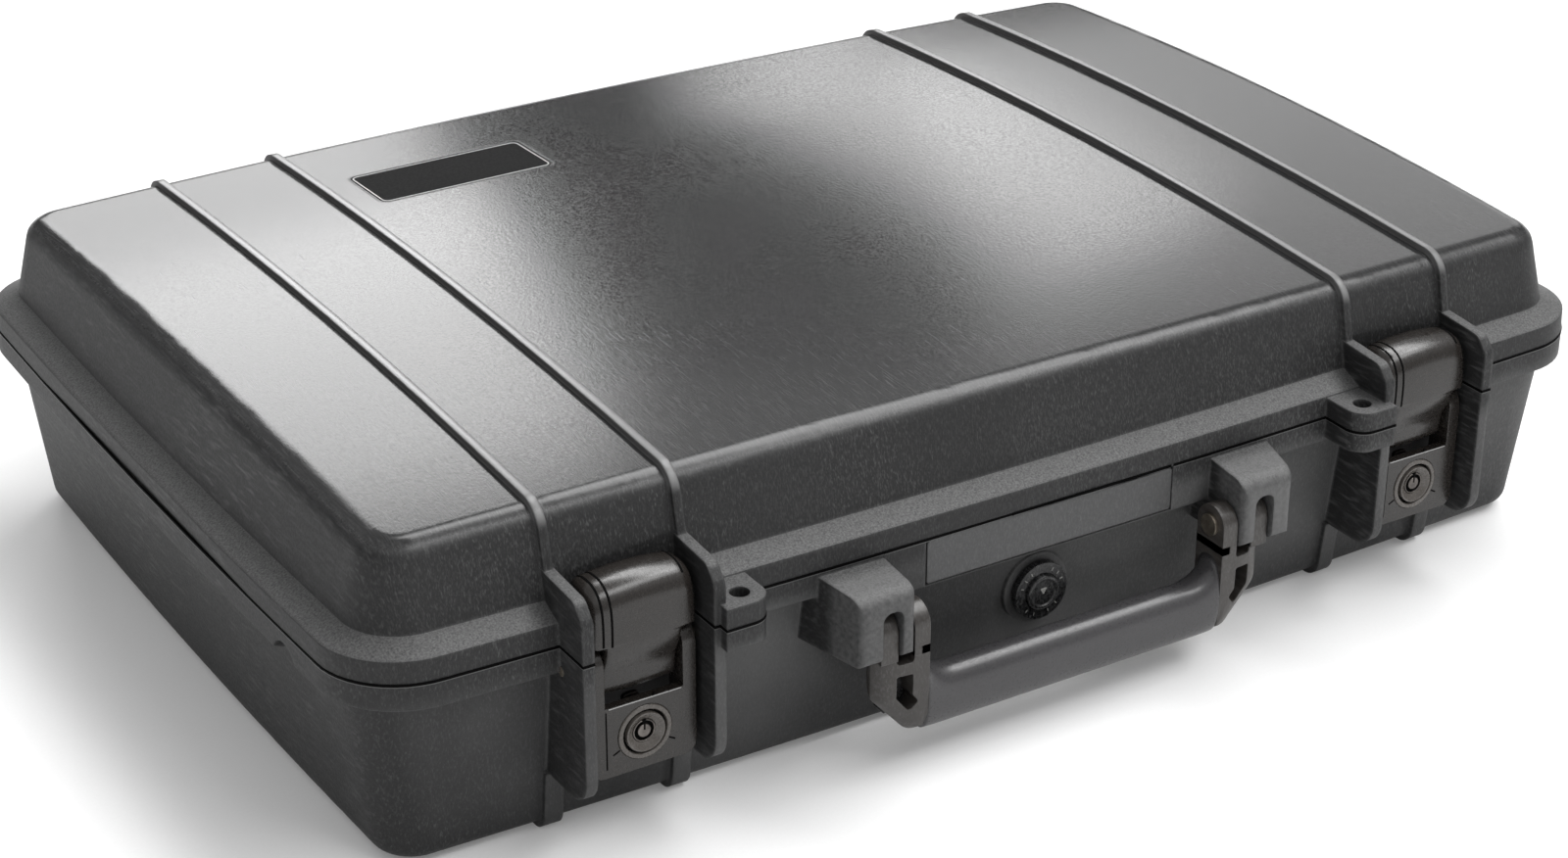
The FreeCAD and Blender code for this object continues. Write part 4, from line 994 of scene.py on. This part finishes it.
def make_floor():
    """Plain pale floor under the case."""
    bm = bmesh.new()
    bmesh.ops.create_grid(bm, x_segments=1, y_segments=1, size=FLOOR_REACH)
    mesh = bpy.data.meshes.new("floor")
    bm.to_mesh(mesh)
    bm.free()
    floor = bpy.data.objects.new("floor", mesh)
    bpy.context.scene.collection.objects.link(floor)
    g = Graph("floor_paper")
    fibre = g.noise(900.0, 3.0)
    g.link(g.mix(g.ramp(fibre, 0.3, 0.7), (0.80, 0.80, 0.80), (0.82, 0.82, 0.82)), g.shader.inputs["Base Color"])
    g.shader.inputs["Roughness"].default_value = 0.9
    g.shader.inputs["Specular IOR Level"].default_value = 0.1
    path = g.nodes.new("ShaderNodeLightPath")
    seen = g.math("MAXIMUM", path.outputs["Is Camera Ray"], path.outputs["Is Glossy Ray"])
    seen = g.math("MAXIMUM", seen, path.outputs["Is Transmission Ray"])
    g.shader.inputs["Emission Color"].default_value = (1.0, 1.0, 1.0, 1.0)
    g.link(g.times(seen, FLOOR_GLOW), g.shader.inputs["Emission Strength"])
    floor.data.materials.append(g.material)


def make_camera():
    """Camera at the photograph's place."""
    data = bpy.data.cameras.new("camera")
    camera = bpy.data.objects.new("camera", data)
    bpy.context.scene.collection.objects.link(camera)
    camera.location = CAMERA_PLACE
    camera.rotation_euler = Euler([math.radians(a) for a in CAMERA_TURN], "XYZ")
    data.sensor_width = SENSOR_WIDTH
    data.lens = FOCAL_PIXELS / IMAGE_WIDTH * SENSOR_WIDTH
    data.shift_x = (IMAGE_WIDTH / 2 - PRINCIPAL_X) / IMAGE_WIDTH
    data.shift_y = (PRINCIPAL_Y - IMAGE_HEIGHT / 2) / IMAGE_WIDTH
    data.clip_start, data.clip_end = 0.01, 100.0
    bpy.context.scene.camera = camera


def direction(azimuth, elevation):
    """Unit vector; azimuth 0 is +Y and grows towards +X."""
    a, e = math.radians(azimuth), math.radians(elevation)
    return Vector((math.sin(a) * math.cos(e), math.cos(a) * math.cos(e), math.sin(e)))


LAMP_DISTANCE = 20.0
LAMP_TARGET = Vector((0, 0, 0.1))
# Name, azimuth, elevation, width, height and roll in degrees, and radiance
LAMPS = (
    ("back_left_low", 14.2, 17.0, 18.0, 8.0, 12.0, 3.8),
    ("back_left_high", 17.0, 28.5, 18.0, 15.0, 12.0, 7.0),
    ("back_streak", 35.0, 20.0, 4.4, 16.5, 38.0, 3.6),
    ("back_right", 47.5, 19.0, 24.0, 17.0, 20.0, 1.7),
    ("back_fill", 38.0, 36.0, 26.0, 9.0, 0.0, 0.6),
    ("overhead", 68.0, 60.0, 44.0, 18.0, 0.0, 9.0),
    ("front_high", 140.0, 55.0, 44.0, 16.0, 0.0, 6.5),
)


def softbox(name, azimuth, elevation, wide, high, roll, radiance):
    """Area light of a given radiance, which the object sees in a direction and at a width and height."""
    data = bpy.data.lights.new(name, "AREA")
    data.shape = "RECTANGLE"
    data.size = 2 * LAMP_DISTANCE * math.tan(math.radians(wide / 2))
    data.size_y = 2 * LAMP_DISTANCE * math.tan(math.radians(high / 2))
    data.energy = radiance * math.pi * data.size * data.size_y
    lamp = bpy.data.objects.new(name, data)
    bpy.context.scene.collection.objects.link(lamp)
    back = direction(azimuth, elevation)
    lamp.location = LAMP_TARGET + back * LAMP_DISTANCE
    turn = back.to_track_quat("Z", "Y").to_matrix()
    lamp.rotation_euler = (turn @ Euler((0, 0, math.radians(roll))).to_matrix()).to_euler()
    lamp.visible_camera = False


def make_world():
    """Plain soft room: dim near the horizon, lighter overhead and towards the front."""
    world = bpy.data.worlds.new("world")
    bpy.context.scene.world = world
    world.use_nodes = True
    nodes, links = world.node_tree.nodes, world.node_tree.links
    coords = nodes.new("ShaderNodeTexCoord")
    split = nodes.new("ShaderNodeSeparateXYZ")
    links.new(coords.outputs["Generated"], split.inputs["Vector"])
    add = nodes.new("ShaderNodeMath")
    add.operation = "ADD"
    for axis, target, spans in (("Z", 0, (0.30, 0.60, 0.10, 0.55)), ("Y", 1, (0.1, -0.9, 0.0, 0.35))):
        step = nodes.new("ShaderNodeMapRange")
        step.interpolation_type = "SMOOTHSTEP"
        for key, value in zip(("From Min", "From Max", "To Min", "To Max"), spans):
            step.inputs[key].default_value = value
        links.new(split.outputs[axis], step.inputs["Value"])
        links.new(step.outputs["Result"], add.inputs[target])
    background = nodes["Background"]
    background.inputs["Color"].default_value = (1.0, 1.0, 1.0, 1.0)
    links.new(add.outputs["Value"], background.inputs["Strength"])


make_floor()
make_camera()
make_world()
for lamp_row in LAMPS:
    softbox(*lamp_row)

bpy.context.scene.view_settings.view_transform = "Standard"
